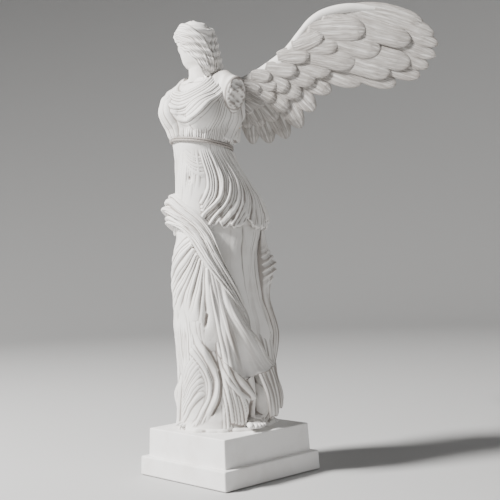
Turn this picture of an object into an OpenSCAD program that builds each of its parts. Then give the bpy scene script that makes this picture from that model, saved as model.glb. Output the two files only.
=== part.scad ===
// Figure trophy: a draped, winged figure on a square two-step plinth.
// The figure faces -Y and its left side is +X. Z = 0 is the face the trophy rests on.

/* [Plinth] */
// Side of the lower slab
slab_side = 105; // [96:1:130]
// Height of the lower slab
slab_h = 15.4; // [13:0.1:24]
// Side of the upper block
block_side = 94.6; // [93:0.1:96]
// Height of the upper block
block_h = 22.7; // [18:0.1:34]
// Chamfer along the plinth's edges
edge_chamfer = 0.7; // [0.3:0.1:1.5]
// Side of the felt pad
felt_side = 97; // [80:1:100]
// Thickness of the felt pad
felt_t = 1.2; // [0.8:0.1:3]
// How far the felt stands below the slab
felt_proud = 0.5; // [0.2:0.1:0.7]

/* [Figure heights] */
// Height of the ground sole under the hem
sole_h = 3; // [2:0.5:5]
// Height of the skirt casting
skirt_h = 159; // [140:1:190]
// Height of the tunic casting, from its hem to the girdle
tunic_h = 67; // [56:1:80]
// Height of the bodice casting, from the girdle to the neck
bodice_h = 58; // [54:1:70]
// Length of the bare neck
neck_h = 9; // [8:0.5:14]
// Height of the head
head_h = 41; // [34:1:49]

/* [Figure widths] */
// Width of the hem
hem_w = 76; // [66:1:80]
// Depth of the hem
hem_d = 83; // [70:1:86]
// Width at the shins
shin_w = 74; // [64:1:84]
// Depth at the shins
shin_d = 77; // [66:1:86]
// Width at the knees
knee_w = 78; // [66:1:88]
// Depth at the knees
knee_d = 83; // [70:1:92]
// Width at the thighs
thigh_w = 73; // [62:1:84]
// Depth at the thighs
thigh_d = 74; // [64:1:84]
// Width of the skirt's top, under the tunic
hip_w = 64; // [56:1:66]
// Depth of the skirt's top, under the tunic
hip_d = 62; // [54:1:64]
// Width of the tunic's wavy hem
tunic_hem_w = 72; // [68:1:84]
// Depth of the tunic's wavy hem
tunic_hem_d = 75; // [68:1:84]
// Width of the waist, at the girdle
waist_w = 53; // [46:1:58]
// Depth of the waist, at the girdle
waist_d = 46; // [40:1:52]
// Width over the breast
bust_w = 69; // [62:1:78]
// Depth over the breast
bust_d = 56; // [50:1:62]
// Width of the neck
neck_w = 20; // [17:0.5:24]
// Width of the face, without the hair
face_w = 26; // [22:0.5:30]
// Depth of the head, without the hair
head_d = 33; // [28:0.5:38]
// Thickness of the hair
hair_t = 3; // [2:0.5:5]
// Thickness of the girdle's cord
cord_d = 2.4; // [1.6:0.1:3.2]
// Thickness of the mantle's cloth
mantle_t = 3; // [2:0.5:5]
// Thickness of the mantle's rolled edge
roll_t = 6; // [4:0.5:8]
// Diameter of the arm stumps
stump_d = 22; // [18:1:24]
// Length of the arm stumps outside the shoulder
stump_l = 17; // [12:1:20]

/* [Wings] */
// Angle of each wing from straight back
wing_angle = 54; // [48:1:58]
// Length of a wing from its seat to its tip
wing_l = 161; // [140:1:190]
// Thickness of the flight feathers
flight_t = 3.2; // [2.4:0.1:4]
// Thickness of each layer of coverts
covert_t = 1.8; // [1.2:0.1:2.4]
// Thickness of the wing arm at its middle
arm_t = 12; // [9:0.5:14]
// Height of the root flange
root_h = 42; // [38:1:46]
// Diameter of the wing pegs
peg_d = 4; // [3:0.5:5]
// Length of a peg inside its socket
peg_in = 17; // [12:1:20]
// Length of a peg inside the wing
peg_out = 12; // [8:1:14]
// Radial clearance between peg and socket
peg_clear = 0.05; // [0.02:0.01:0.09]
// Wall of the peg sockets
socket_wall = 1.5; // [1:0.1:2]
// Distance between the two pegs of a wing
peg_pitch = 24; // [20:1:26]
// Gap between the wing root and its seat
seat_gap = 0.3; // [0.3:0.1:0.8]

/* [Fixings] */
// Diameter of the tie rod
rod_d = 6; // [5:0.5:8]
// Length of the tie rod above the plinth
rod_up = 30; // [24:1:40]
// Outer diameter of the brass insert
insert_d = 9; // [8:0.5:12]
// Length of the brass insert
insert_l = 14; // [10:1:20]
// Diameter of the nut's recess
recess_d = 18; // [16:1:24]
// Depth of the nut's recess
recess_h = 8; // [7.5:0.5:10]
// Width of the nut across its flats
nut_af = 10; // [8:0.5:13]
// Height of the nut
nut_h = 5; // [4:0.5:5.5]
// Outer diameter of the washer
washer_d = 16; // [12:0.5:15.5]
// Thickness of the washer
washer_t = 1.6; // [1:0.1:2]
// Diameter of the locating pins
pin_d = 5; // [4:0.5:6]
// Length of the locating pins
pin_l = 14; // [10:1:16]
// Half the distance between the locating pins
pin_reach = 18; // [14:1:19]
// Diameter of the spine rod
spine_d = 6; // [5:0.5:8]
// Length of the spine rod
spine_l = 96; // [90:1:100]
// Diameter of the neck dowel
neck_pin_d = 5; // [4:0.5:6]
// Length of the neck dowel
neck_pin_l = 34; // [26:1:40]

/* [Hidden] */
$fn = 48;
slop = 0.01;           // overrun of a cut past a face
sides = 40;            // corners of a body section
stone = [0.93, 0.92, 0.90];
stone_shade = [0.87, 0.86, 0.84];
brass_tint = [0.78, 0.62, 0.32];
steel_tint = [0.62, 0.63, 0.65];

// Levels, from the resting face upwards
block_z = felt_proud + slab_h;
sole_z = block_z + block_h;
skirt_z = sole_z + sole_h;
tunic_z = skirt_z + skirt_h;
girdle_z = tunic_z + tunic_h;
neck_z = girdle_z + bodice_h;
chin_z = neck_z + neck_h;
wing_z = neck_z - 28;  // middle of the wing root

// The body's line: how far each section's middle stands off the plinth's middle
body_x = -3;
hem_x = -6;
lean = -15;            // the waist leans forward over the feet
wing_x = body_x + 14;  // where the wing's plane meets the back
wing_y = lean + 19;
seat_s = 8;            // the seat's distance along the wing from that place

// Sections of each casting: [height share, middle x, middle y, half width, half depth]
skirt_form = [
    [0.00, hem_x, 4, hem_w / 2, hem_d / 2],
    [0.14, body_x - 1, 3, hem_w / 2 + 1, hem_d / 2 - 2],
    [0.27, body_x, 1, shin_w / 2, shin_d / 2],
    [0.45, body_x, 2, knee_w / 2, knee_d / 2],
    [0.64, body_x, -3, thigh_w / 2, thigh_d / 2],
    [0.86, body_x, -4, thigh_w / 2 - 0.5, thigh_d / 2 - 1.5],
    [1.00, body_x, -5, hip_w / 2, hip_d / 2]];
tunic_form = [
    [0.00, body_x, 1, tunic_hem_w / 2, tunic_hem_d / 2],
    [0.24, body_x, 0, tunic_hem_w / 2 - 0.5, tunic_hem_d / 2 - 1],
    [0.54, body_x, lean + 9, waist_w / 2 + 4.5, waist_d / 2 + 6],
    [0.80, body_x, lean + 3, waist_w / 2 + 0.5, waist_d / 2 + 1],
    [1.00, body_x, lean, waist_w / 2, waist_d / 2]];
bodice_form = [
    [0.00, body_x, lean, waist_w / 2, waist_d / 2],
    [0.20, body_x, lean + 1, waist_w / 2 + 2.5, waist_d / 2 + 1.5],
    [0.36, body_x, lean + 2, bust_w / 2 - 1.5, bust_d / 2 - 0.5],
    [0.55, body_x, lean + 2, bust_w / 2, bust_d / 2],
    [0.76, body_x, lean + 3, bust_w / 2 - 0.5, bust_d / 2 - 7],
    [0.92, body_x, lean + 3, bust_w / 2 - 12, bust_d / 2 - 15],
    [1.00, body_x, lean + 3, neck_w / 2 + 1, neck_w / 2]];
neck_share = neck_h / (neck_h + head_h);
head_form = [
    [0.00, body_x, lean + 3, neck_w / 2, neck_w / 2 - 1],
    [neck_share * 0.7, body_x - 1, lean + 2, neck_w / 2 - 1, neck_w / 2],
    [neck_share + 0.12, body_x - 1, lean, face_w / 2 - 4, head_d / 2 - 3],
    [neck_share + 0.32, body_x - 1, lean + 1, face_w / 2, head_d / 2],
    [neck_share + 0.56, body_x - 1, lean + 2, face_w / 2, head_d / 2],
    [0.92, body_x - 1, lean + 3, face_w / 2 - 5, head_d / 2 - 6],
    [1.00, body_x - 1, lean + 3, 3, 4]];

// Smooth curve through four neighbouring sections
function blend(a, b, c, d, t) =
    b + 0.5 * t * ((c - a) + t * ((2 * a - 5 * b + 4 * c - d) + t * (3 * (b - c) + d - a)));
function row(form, i) = form[max(0, min(len(form) - 1, i))];
function span(form, h, i = 0) =
    (i >= len(form) - 2 || h < form[i + 1][0]) ? i : span(form, h, i + 1);
function section(form, h) =
    let (i = span(form, h), t = (h - form[i][0]) / (form[i + 1][0] - form[i][0]))
    blend(row(form, i - 1), row(form, i), row(form, i + 1), row(form, i + 2), t);
// A point on a casting's skin: turn 0 is the front, 90 the figure's left; off stands it off the skin
function skin(form, height, turn, h, off = 0) =
    let (s = section(form, h))
    [s[1] + (s[3] + off) * sin(turn), s[2] - (s[4] + off) * cos(turn), h * height];

// Triangles between closed rings of n points, one above the other
function side_faces(rings, n) =
    [for (r = [0 : rings - 2], i = [0 : n - 1], half = [0, 1])
        let (j = (i + 1) % n, low = r * n, high = low + n)
        half == 0 ? [low + i, high + i, high + j] : [low + i, high + j, low + j]];
// The same with flat ends
function ring_faces(rings, n) = concat(
    [[for (i = [0 : n - 1]) i]],
    [[for (i = [n - 1 : -1 : 0]) (rings - 1) * n + i]],
    side_faces(rings, n));
// The same with ends that may be curved, each closed by triangles from one long side to the other
function strip_faces(rings, n) = concat(
    [for (j = [0 : n / 2 - 2], half = [0, 1])
        half == 0 ? [j, j + 1, n - 2 - j] : [j, n - 2 - j, n - 1 - j]],
    [for (j = [0 : n / 2 - 2], half = [0, 1]) let (e = (rings - 1) * n)
        half == 0 ? [e + j, e + n - 2 - j, e + j + 1] : [e + j, e + n - 1 - j, e + n - 2 - j]],
    side_faces(rings, n));

// A casting of the body, its rings following its form; pleats deepen towards its foot
module casting(form, height, rings, pleat = 0, pleats = 10) {
    polyhedron(
        points = [for (r = [0 : rings], i = [0 : sides - 1])
            let (h = r / rings, turn = 360 * i / sides)
            skin(form, height, turn, h, pleat * (1 - h) * cos(pleats * turn))],
        faces = ring_faces(rings + 1, sides), convexity = 4);
}

// A strip of cloth on a casting's skin between two edges, each a list of [turn, height];
// it is thickest, rise, along its middle
module strip(form, height, edge_a, edge_b, rise, sink = 0.8, lanes = 5) {
    n = 2 * (lanes + 1);
    function across(k, v) = edge_a[k] + (edge_b[k] - edge_a[k]) * v;
    function spot(k, v, off) =
        let (p = across(k, v)) skin(form, height, p[0], p[1] / height, off);
    points = [for (k = [0 : len(edge_a) - 1]) concat(
        [for (j = [0 : lanes]) spot(k, j / lanes, -sink)],
        [for (j = [lanes : -1 : 0]) spot(k, j / lanes, rise * (0.35 + 0.65 * sin(180 * j / lanes)))])];
    polyhedron(points = [for (ring = points) each ring], faces = strip_faces(len(edge_a), n),
        convexity = 6);
}

function on_skirt(edge) = [for (p = edge) [p[0], p[1] * skirt_h]];

// A rounded peg-like form lying along X: a foot, an arm stump. girth gives its radius along it
module pod(length, girth, flat = 1) {
    steps = len(girth) - 1;
    round_n = 16;
    polyhedron(
        points = [for (r = [0 : steps], i = [0 : round_n - 1])
            let (turn = 360 * i / round_n)
            [length * r / steps, girth[r] * cos(turn), flat * girth[r] * sin(turn)]],
        faces = ring_faces(steps + 1, round_n), convexity = 2);
}

module locating_pins(z, d, l) {
    for (side = [-1, 1]) translate([side * pin_reach, 0, z - l / 2]) cylinder(d = d, h = l);
}

module step_block(side, h) {
    c = edge_chamfer;
    translate([0, 0, h / 2]) intersection() {
        cube([side, side, h], center = true);
        rotate([0, 0, 45]) cube([side * sqrt(2) - 2 * c, side * sqrt(2) - 2 * c, h + 1], center = true);
        rotate([45, 0, 0]) cube([side + 1, (side + h) / sqrt(2) - c, (side + h) / sqrt(2) - c], center = true);
        rotate([0, 45, 0]) cube([(side + h) / sqrt(2) - c, side + 1, (side + h) / sqrt(2) - c], center = true);
    }
}

// ---- Plinth ----
module felt_pad() {
    color("dimgray") linear_extrude(felt_t) square(felt_side, center = true);
}

module foot_slab() {
    color(stone) difference() {
        translate([0, 0, felt_proud]) step_block(slab_side, slab_h);
        linear_extrude(felt_t) square(felt_side, center = true);
        translate([0, 0, felt_t - slop]) cylinder(d = recess_d, h = recess_h + slop);
        cylinder(d = rod_d, h = block_z + 1);
        locating_pins(block_z, pin_d, pin_l);
    }
}

module plinth_block() {
    color(stone) difference() {
        translate([0, 0, block_z]) step_block(block_side, block_h);
        translate([0, 0, block_z - 1]) cylinder(d = rod_d, h = block_h + 2);
        locating_pins(block_z, pin_d, pin_l);
        locating_pins(sole_z, pin_d, pin_l + 2 * sole_h);
    }
}

module slab_pins() {
    color(steel_tint) locating_pins(block_z, pin_d, pin_l);
}

module tie_rod() {
    bottom = felt_t + recess_h - washer_t - nut_h - 0.5;
    color(steel_tint) translate([0, 0, bottom]) cylinder(d = rod_d, h = sole_z + rod_up - bottom);
}

module rod_washer() {
    color(steel_tint) translate([0, 0, felt_t + recess_h - washer_t]) difference() {
        cylinder(d = washer_d, h = washer_t);
        translate([0, 0, -1]) cylinder(d = rod_d, h = washer_t + 2);
    }
}

module rod_nut() {
    color(steel_tint) translate([0, 0, felt_t + recess_h - washer_t - nut_h]) difference() {
        cylinder(d = nut_af / cos(30), h = nut_h, $fn = 6);
        translate([0, 0, -1]) cylinder(d = rod_d, h = nut_h + 2);
    }
}

module rod_insert() {
    color(brass_tint) translate([0, 0, sole_z + rod_up - insert_l]) difference() {
        cylinder(d = insert_d, h = insert_l);
        translate([0, 0, -1]) cylinder(d = rod_d, h = insert_l + 2);
    }
}

module figure_pins() {
    color(steel_tint) locating_pins(sole_z, pin_d, pin_l + 2 * sole_h);
}

// ---- Lower figure ----
module ground_sole() {
    edge = 1.2;
    corners = 28;
    color(stone_shade) difference() {
        translate([0, 0, sole_z]) linear_extrude(sole_h)
            polygon([for (i = [0 : corners - 1])
                let (turn = 360 * i / corners, rough = edge * (1 + 0.6 * sin(5 * turn) + 0.4 * cos(9 * turn)))
                [hem_x + (hem_w / 2 + rough) * sin(turn), 4 - (hem_d / 2 + rough) * cos(turn)]]);
        translate([0, 0, sole_z - 1]) cylinder(d = rod_d, h = sole_h + 2);
        locating_pins(sole_z, pin_d, pin_l + 2 * sole_h);
    }
}

module skirt() {
    color(stone) difference() {
        translate([0, 0, skirt_z]) casting(skirt_form, skirt_h, 16, 1.2, 10);
        translate([0, 0, skirt_z - 1]) cylinder(d = rod_d, h = rod_up);
        translate([0, 0, sole_z + rod_up - insert_l]) cylinder(d = insert_d, h = insert_l + 1);
        locating_pins(sole_z, pin_d, pin_l + 2 * sole_h);
        spine_bore();
    }
}

foot_girth = [2.5, 5.2, 6, 6.4, 6.2, 5.2, 3];
module left_foot() {
    color(stone) translate([17, 17, skirt_z + 3.6]) rotate([0, 0, -48]) pod(29, foot_girth, 0.55);
}
module right_foot() {
    color(stone) translate([-13, -14, skirt_z + 3.6]) rotate([0, 0, -94]) pod(30, foot_girth, 0.55);
}

// The mantle's rolled edge, from the left knee up across the front and round the right hip.
// The mantle and the feet are bedded in the skirt's skin.
module hip_mantle() {
    top_edge = [[80, 0.528], [66, 0.704], [52, 0.843], [38, 0.931], [22, 0.969], [4, 0.987],
        [-18, 0.994], [-42, 0.994], [-68, 0.987], [-96, 0.975], [-124, 0.962], [-150, 0.943], [-172, 0.925]];
    lower_edge = [[80, 0.503], [66, 0.616], [52, 0.717], [38, 0.780], [22, 0.805], [4, 0.836],
        [-18, 0.855], [-42, 0.855], [-68, 0.849], [-96, 0.836], [-124, 0.824], [-150, 0.818], [-172, 0.862]];
    color(stone) translate([0, 0, skirt_z])
        strip(skirt_form, skirt_h, on_skirt(top_edge), on_skirt(lower_edge), roll_t);
}

// The mantle's hanging end, below the roll in front
module mantle_fall() {
    left_edge = [[36, 0.76], [41, 0.68], [43, 0.57], [46, 0.46], [50, 0.35]];
    right_edge = [[66, 0.66], [68, 0.61], [74, 0.53], [82, 0.44], [96, 0.33]];
    color(stone) translate([0, 0, skirt_z])
        strip(skirt_form, skirt_h, on_skirt(left_edge), on_skirt(right_edge), mantle_t);
}

// The mantle's blown part behind the left leg
module back_drape() {
    left_edge = [[104, 0.92], [106, 0.78], [104, 0.63], [108, 0.48], [112, 0.34], [110, 0.21]];
    right_edge = [[170, 0.92], [176, 0.78], [182, 0.63], [184, 0.48], [180, 0.34], [170, 0.21]];
    color(stone) translate([0, 0, skirt_z])
        strip(skirt_form, skirt_h, on_skirt(left_edge), on_skirt(right_edge), mantle_t + 4);
}

// ---- Upper figure ----
spine_z = tunic_z - 18;
module spine_bore() {
    translate([body_x, lean + 5, spine_z]) cylinder(d = spine_d, h = spine_l);
}

module spine_rod() { color(steel_tint) spine_bore(); }

module tunic() {
    color(stone) difference() {
        translate([0, 0, tunic_z]) casting(tunic_form, tunic_h, 10, 1.6, 10);
        girdle_form();
        spine_bore();
    }
}

// The doubled cord round the waist, half sunk in the cloth
module girdle_form() {
    around = 40;
    facets = 6;
    dip = 3;
    for (level = [-1, 1]) polyhedron(
        points = [for (i = [0 : around - 1], k = [0 : facets - 1])
            let (turn = 360 * i / around, a = 360 * k / facets, r = cord_d / 2,
                z = girdle_z + level * (r + 0.1) - dip * (1 - cos(turn)) / 2, off = 0.4 + r * cos(a))
            [body_x + (waist_w / 2 + off) * sin(turn), lean - (waist_d / 2 + off) * cos(turn),
                z + r * sin(a)]],
        faces = [for (i = [0 : around - 1], k = [0 : facets - 1], half = [0, 1])
            let (here = i * facets, next = ((i + 1) % around) * facets, l = (k + 1) % facets)
            half == 0 ? [here + k, here + l, next + l] : [here + k, next + l, next + k]],
        convexity = 6);
}

module girdle_cord() { color(stone_shade) girdle_form(); }

module bodice() {
    color(stone) difference() {
        union() {
            translate([0, 0, girdle_z]) casting(bodice_form, bodice_h, 12);
            both_sides() seat_boss();
        }
        girdle_form();
        both_sides() seat_cut();
        left_stump_form();
        right_stump_form();
        both_sides() wing_frame() pegs_at(seat_s - peg_in, peg_in + 1, peg_d + 2 * socket_wall);
        spine_bore();
        neck_bore();
    }
}

// Places a wing's own plane: X runs out along the wing, Y is up, Z is its thickness
module wing_frame() {
    translate([wing_x, wing_y, wing_z]) rotate([0, 0, 90 - wing_angle]) rotate([90, 0, 0]) children();
}

module both_sides() {
    children();
    other_side() children();
}

module other_side() {
    translate([2 * body_x, 0, 0]) mirror([1, 0, 0]) children();
}

module seat_boss() {
    wing_frame() translate([seat_s - 16, -root_h / 2 + 1, -arm_t / 2]) cube([16, root_h - 2, arm_t]);
}

// Clears everything past the seat so that the wing root stands off it
module seat_cut() {
    wing_frame() translate([seat_s, -root_h, -arm_t]) cube([40, 2 * root_h, 2 * arm_t]);
}

module pegs_at(start, length, d) {
    for (side = [-1, 1]) translate([start, side * peg_pitch / 2, 0]) rotate([0, 90, 0])
        cylinder(d = d, h = length);
}

module peg_sockets() {
    color(brass_tint) wing_frame() difference() {
        pegs_at(seat_s - peg_in, peg_in, peg_d + 2 * socket_wall);
        pegs_at(seat_s - peg_in - 1, peg_in + 2, peg_d + 2 * peg_clear);
    }
}

module left_stump_form() {
    translate([body_x + 25, lean + 5, neck_z - 13]) rotate([0, 16, 10])
        pod(stump_l, [for (g = [1.1, 1.08, 1.03, 1, 0.98, 0.9]) g * stump_d / 2]);
}
module right_stump_form() {
    translate([body_x - 25, lean + 5, neck_z - 13]) rotate([0, -16, -10]) mirror([1, 0, 0])
        pod(stump_l, [for (g = [1.1, 1.08, 1.03, 1, 0.98, 0.9]) g * stump_d / 2]);
}
module left_arm_stump() { color(stone) left_stump_form(); }
module right_arm_stump() { color(stone) right_stump_form(); }

module neck_bore() {
    translate([body_x, lean + 3, neck_z - neck_pin_l / 2]) cylinder(d = neck_pin_d, h = neck_pin_l);
}
module neck_dowel() { color(steel_tint) neck_bore(); }

module head_form() {
    translate([0, 0, neck_z]) casting(head_form, neck_h + head_h, 12);
}

module head() {
    color(stone) difference() {
        head_form();
        neck_bore();
    }
}

// The hair: a cap over the skull and a mass that hangs behind the neck
module hair() {
    color(stone_shade) difference() {
        translate([0, 0, chin_z - 6]) casting([
            [0.00, body_x - 1, lean + 14, 6, 5],
            [0.20, body_x - 1, lean + 12, 11, 10],
            [0.45, body_x - 1, lean + 6, face_w / 2 + hair_t, head_d / 2 + hair_t - 3],
            [0.75, body_x - 1, lean + 4, face_w / 2 + hair_t, head_d / 2 + hair_t],
            [0.93, body_x - 1, lean + 4, face_w / 2 - 3, head_d / 2 - 4],
            [1.00, body_x - 1, lean + 4, 4, 5]], head_h + hair_t + 5, 10);
        head_form();
    }
}

// ---- Wings ----
// Outlines lie in the wing's plane: x from the seat outwards, y from the middle of the root
scale_l = wing_l / 161;
arm_line = [[0, 27], [14, 32], [27, 39], [40, 48], [52, 62], [59, 70], [69, 76], [81, 79], [93, 80], [113, 74]];
arm_depth = [root_h + 6, root_h + 5, 28, 16, 14, 12, 10, 8.5, 7, 1.5];

// Rows of feathers, from the root to the tip: [quill x, quill y, tip x, tip y, width]
flight_row = [
    [4, 6, 13, -30, 11], [10, 10, 26, -28, 12], [17, 14, 41, -26, 12], [24, 20, 52, -19, 12],
    [31, 27, 62, -4, 12], [38, 36, 74, 10, 12], [46, 46, 101, 15, 12], [56, 58, 128, 12, 12],
    [64, 66, 147, 17, 11], [72, 72, 153, 24, 10], [80, 75, 160, 32, 9], [88, 76, 161, 42, 8],
    [98, 78, 150, 57, 10]];
long_row = [
    [4, 8, 18, -13, 11], [12, 13, 29, -10, 11], [19, 18, 39, -3, 11], [26, 25, 52, 9, 12],
    [34, 34, 64, 19, 12], [42, 43, 78, 26, 13], [50, 52, 100, 31, 13], [60, 64, 122, 26, 13],
    [70, 70, 138, 30, 12], [84, 75, 141, 45, 12]];
short_row = [
    [4, 10, 14, 0, 10], [10, 14, 24, 6, 11], [17, 20, 36, 12, 11], [24, 27, 50, 26, 12],
    [36, 40, 62, 38, 13], [46, 50, 83, 46, 13], [62, 66, 104, 55, 13]];

function stretched(f) = [f[0] * scale_l, f[1], f[2] * scale_l, f[3], f[4]];
function heel(f) =
    let (run = [f[2] - f[0], f[3] - f[1]], l = norm(run))
    [f[2] - run[0] / l * f[4] / 2, f[3] - run[1] / l * f[4] / 2];

// The round tip of a feather, from its outer side to its inner side
function tip_arc(f) =
    let (angle = atan2(f[3] - f[1], f[2] - f[0]), end = heel(f))
    [for (k = [0 : 4]) let (a = angle + 56 - 28 * k) end + f[4] / 2 * [cos(a), sin(a)]];

// A row of feathers in one outline: along the quills, then back round the tips
module feather_row(plain) {
    feathers = [for (f = plain) stretched(f)];
    last = len(feathers) - 1;
    polygon(concat(
        [for (f = feathers) [f[0], f[1]]],
        [for (i = [last : -1 : 0]) each tip_arc(feathers[i])]));
}

module arm_outline() {
    last = len(arm_line) - 1;
    polygon(concat(
        [for (p = arm_line) [p[0] * scale_l, p[1]]],
        [for (i = [last : -1 : 0]) [arm_line[i][0] * scale_l, arm_line[i][1] - arm_depth[i]]]));
}

module both_faces(low, t) {
    for (side = [0, 1]) mirror([0, 0, side]) translate([0, 0, low]) linear_extrude(t) children();
}

module wing_part() {
    wing_frame() translate([seat_s + seat_gap, 0, 0]) children();
}

// The arm bone: a thick root that thins towards the wing's bend and on to its tip
module wing_arm() {
    color(stone) difference() {
        wing_part() intersection() {
            linear_extrude(arm_t, center = true) arm_outline();
            rotate([-90, 0, 0]) translate([0, 0, -60]) linear_extrude(200)
                polygon([[0, -arm_t / 2], [52 * scale_l, -arm_t / 2], [120 * scale_l, -2],
                    [120 * scale_l, 2], [52 * scale_l, arm_t / 2], [0, arm_t / 2]]);
        }
        wing_frame() pegs_at(seat_s, peg_out, peg_d);
    }
}

// Every row stops at the arm and stays inside the flight feathers' outline
module flight_outline() {
    difference() {
        feather_row(flight_row);
        arm_outline();
    }
}

module flight_feathers() {
    color(stone) wing_part() linear_extrude(flight_t, center = true) flight_outline();
}

module long_coverts() {
    color(stone_shade) wing_part() both_faces(flight_t / 2, covert_t) intersection() {
        feather_row(long_row);
        flight_outline();
    }
}

module short_coverts() {
    color(stone) wing_part() both_faces(flight_t / 2 + covert_t, covert_t) intersection() {
        feather_row(short_row);
        feather_row(long_row);
        flight_outline();
    }
}

module wing_pegs() {
    color(steel_tint) wing_frame() pegs_at(seat_s - peg_in + 0.5, peg_in + peg_out - 0.5, peg_d);
}

felt_pad();
foot_slab();
plinth_block();
slab_pins();
tie_rod();
rod_washer();
rod_nut();
rod_insert();
figure_pins();
ground_sole();
skirt();
left_foot();
right_foot();
hip_mantle();
mantle_fall();
back_drape();
tunic();
spine_rod();
girdle_cord();
bodice();
left_arm_stump();
right_arm_stump();
neck_dowel();
head();
hair();
peg_sockets();  // left_peg_sockets
other_side() peg_sockets();  // right_peg_sockets
wing_pegs();  // left_wing_pegs
wing_arm();  // left_wing_arm
flight_feathers();  // left_flight_feathers
long_coverts();  // left_long_coverts
short_coverts();  // left_short_coverts
other_side() wing_pegs();  // right_wing_pegs
other_side() wing_arm();  // right_wing_arm
other_side() flight_feathers();  // right_flight_feathers
other_side() long_coverts();  // right_long_coverts
other_side() short_coverts();  // right_short_coverts
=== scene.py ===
"""A winged, draped figure trophy in cast white stone, on a square two-step plinth.

Work is done in millimetres and scaled to metres when a piece is made. On the figure a place is
given by its turn, in degrees (0 the front, 90 the figure's left), and by up, the height in
millimetres above the plinth. Every piece of the figure is moulded from a closed blank drum.
"""
import math

import bmesh
import bpy
import numpy as np
from mathutils import Matrix, Vector


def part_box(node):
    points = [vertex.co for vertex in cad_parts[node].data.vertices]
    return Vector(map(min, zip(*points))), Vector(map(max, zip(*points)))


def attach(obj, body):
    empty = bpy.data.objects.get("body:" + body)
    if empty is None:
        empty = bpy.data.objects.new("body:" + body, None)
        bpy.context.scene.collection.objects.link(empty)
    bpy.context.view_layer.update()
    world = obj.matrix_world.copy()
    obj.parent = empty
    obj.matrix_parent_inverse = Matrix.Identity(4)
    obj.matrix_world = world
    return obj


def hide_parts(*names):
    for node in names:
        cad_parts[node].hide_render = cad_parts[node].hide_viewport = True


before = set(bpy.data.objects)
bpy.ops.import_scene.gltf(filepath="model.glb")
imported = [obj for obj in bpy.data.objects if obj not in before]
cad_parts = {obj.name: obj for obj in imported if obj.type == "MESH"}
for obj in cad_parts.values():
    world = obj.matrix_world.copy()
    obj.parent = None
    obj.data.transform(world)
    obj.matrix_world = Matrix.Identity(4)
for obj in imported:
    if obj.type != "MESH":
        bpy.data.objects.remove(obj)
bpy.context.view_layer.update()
MM = 0.001


def node_box(node):
    """The low and high corners of a frame node's box, in millimetres."""
    low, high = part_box(node)
    return np.array(low) / MM, np.array(high) / MM


# ---- Levels and places taken from the frame ----
PLINTH_TOP = node_box("ground_sole")[0][2]
TUNIC_FOOT = node_box("tunic")[0][2] - PLINTH_TOP
GIRDLE_UP = node_box("bodice")[0][2] - PLINTH_TOP
NECK_UP = node_box("head")[0][2] - PLINTH_TOP
BODY_X = (node_box("left_wing_arm")[0][0] + node_box("right_wing_arm")[1][0]) / 2
WING_ROOT_Z = (node_box("left_peg_sockets")[0][2] + node_box("left_peg_sockets")[1][2]) / 2
WING_MIDDLE = np.array([11, 4])  # where the left wing's middle line leaves the back
WING_DIR = np.array([0.809, 0.588])
WING_OUT = np.array([0.588, -0.809])
SEAT_AHEAD = 7.9  # how far along the wing its flat seat lies from there
SEAT_ROOM = 0.4
rng = np.random.default_rng(7)


# ---- Blanks and moulding ----
def drum(around, rings, cap_rings=3):
    """A closed drum of radius 1 from z = 0 to z = 1: a sheet wrapped round its outline and welded."""
    inner = [k / cap_rings for k in range(cap_rings)]
    outline = [(r, 0.0) for r in inner]
    outline += [(1.0, k / rings) for k in range(rings + 1)]
    outline += [(r, 1.0) for r in reversed(inner)]
    bm = bmesh.new()
    bmesh.ops.create_grid(bm, x_segments=around, y_segments=len(outline) - 1, size=0.5)
    for v in bm.verts:
        a = 2 * math.pi * (round((v.co.x + 0.5) * around) % around) / around
        r, z = outline[round((v.co.y + 0.5) * (len(outline) - 1))]
        v.co = (r * math.sin(a), -r * math.cos(a), z)
    bmesh.ops.remove_doubles(bm, verts=bm.verts, dist=1e-6)
    bmesh.ops.recalc_face_normals(bm, faces=bm.faces)
    return bm


def moulded(bm, shape):
    """The blank's mesh with every point moved to where shape(turn, radius, height) puts it."""
    mesh = bpy.data.meshes.new("blank")
    bm.to_mesh(mesh)
    bm.free()
    co = np.empty(len(mesh.vertices) * 3)
    mesh.vertices.foreach_get("co", co)
    co = co.reshape(-1, 3)
    turn = np.degrees(np.arctan2(co[:, 0], -co[:, 1]))
    radius = np.hypot(co[:, 0], co[:, 1])
    placed = shape(turn, radius, co[:, 2])
    mesh.vertices.foreach_set("co", (placed * MM).ravel())
    mesh.update()
    return mesh


def joined(meshes):
    """One mesh of several."""
    bm = bmesh.new()
    for mesh in meshes:
        bm.from_mesh(mesh)
        bpy.data.meshes.remove(mesh)
    whole = bpy.data.meshes.new("joined")
    bm.to_mesh(whole)
    bm.free()
    return whole


def other_side(mesh):
    """A mirrored copy across the body's middle plane."""
    bm = bmesh.new()
    bm.from_mesh(mesh)
    bmesh.ops.transform(bm, verts=bm.verts, matrix=Matrix.Translation((2 * BODY_X * MM, 0, 0))
                        @ Matrix.Diagonal((-1, 1, 1, 1)))
    bmesh.ops.reverse_faces(bm, faces=bm.faces)
    copy = bpy.data.meshes.new("mirrored")
    bm.to_mesh(copy)
    bm.free()
    return copy


def piece(name, mesh, material, node, body="root"):
    """Makes a finished mesh a piece that rides a body and stands in for a frame node."""
    mesh.name = name
    mesh.polygons.foreach_set("use_smooth", [True] * len(mesh.polygons))
    mesh.materials.clear()
    mesh.materials.append(material)
    obj = bpy.data.objects.new(name, mesh)
    bpy.context.scene.collection.objects.link(obj)
    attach(obj, body)
    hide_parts(node)
    return obj


# ---- Forms: sections up the body, joined by smooth curves ----
def between(before, a, b, after, t):
    """The smooth curve from a to b at share t; before and after are the points next to them."""
    return a + 0.5 * t * ((b - before) + t * ((2 * before - 5 * a + 4 * b - after)
                                             + t * (3 * (a - b) + after - before)))


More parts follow.
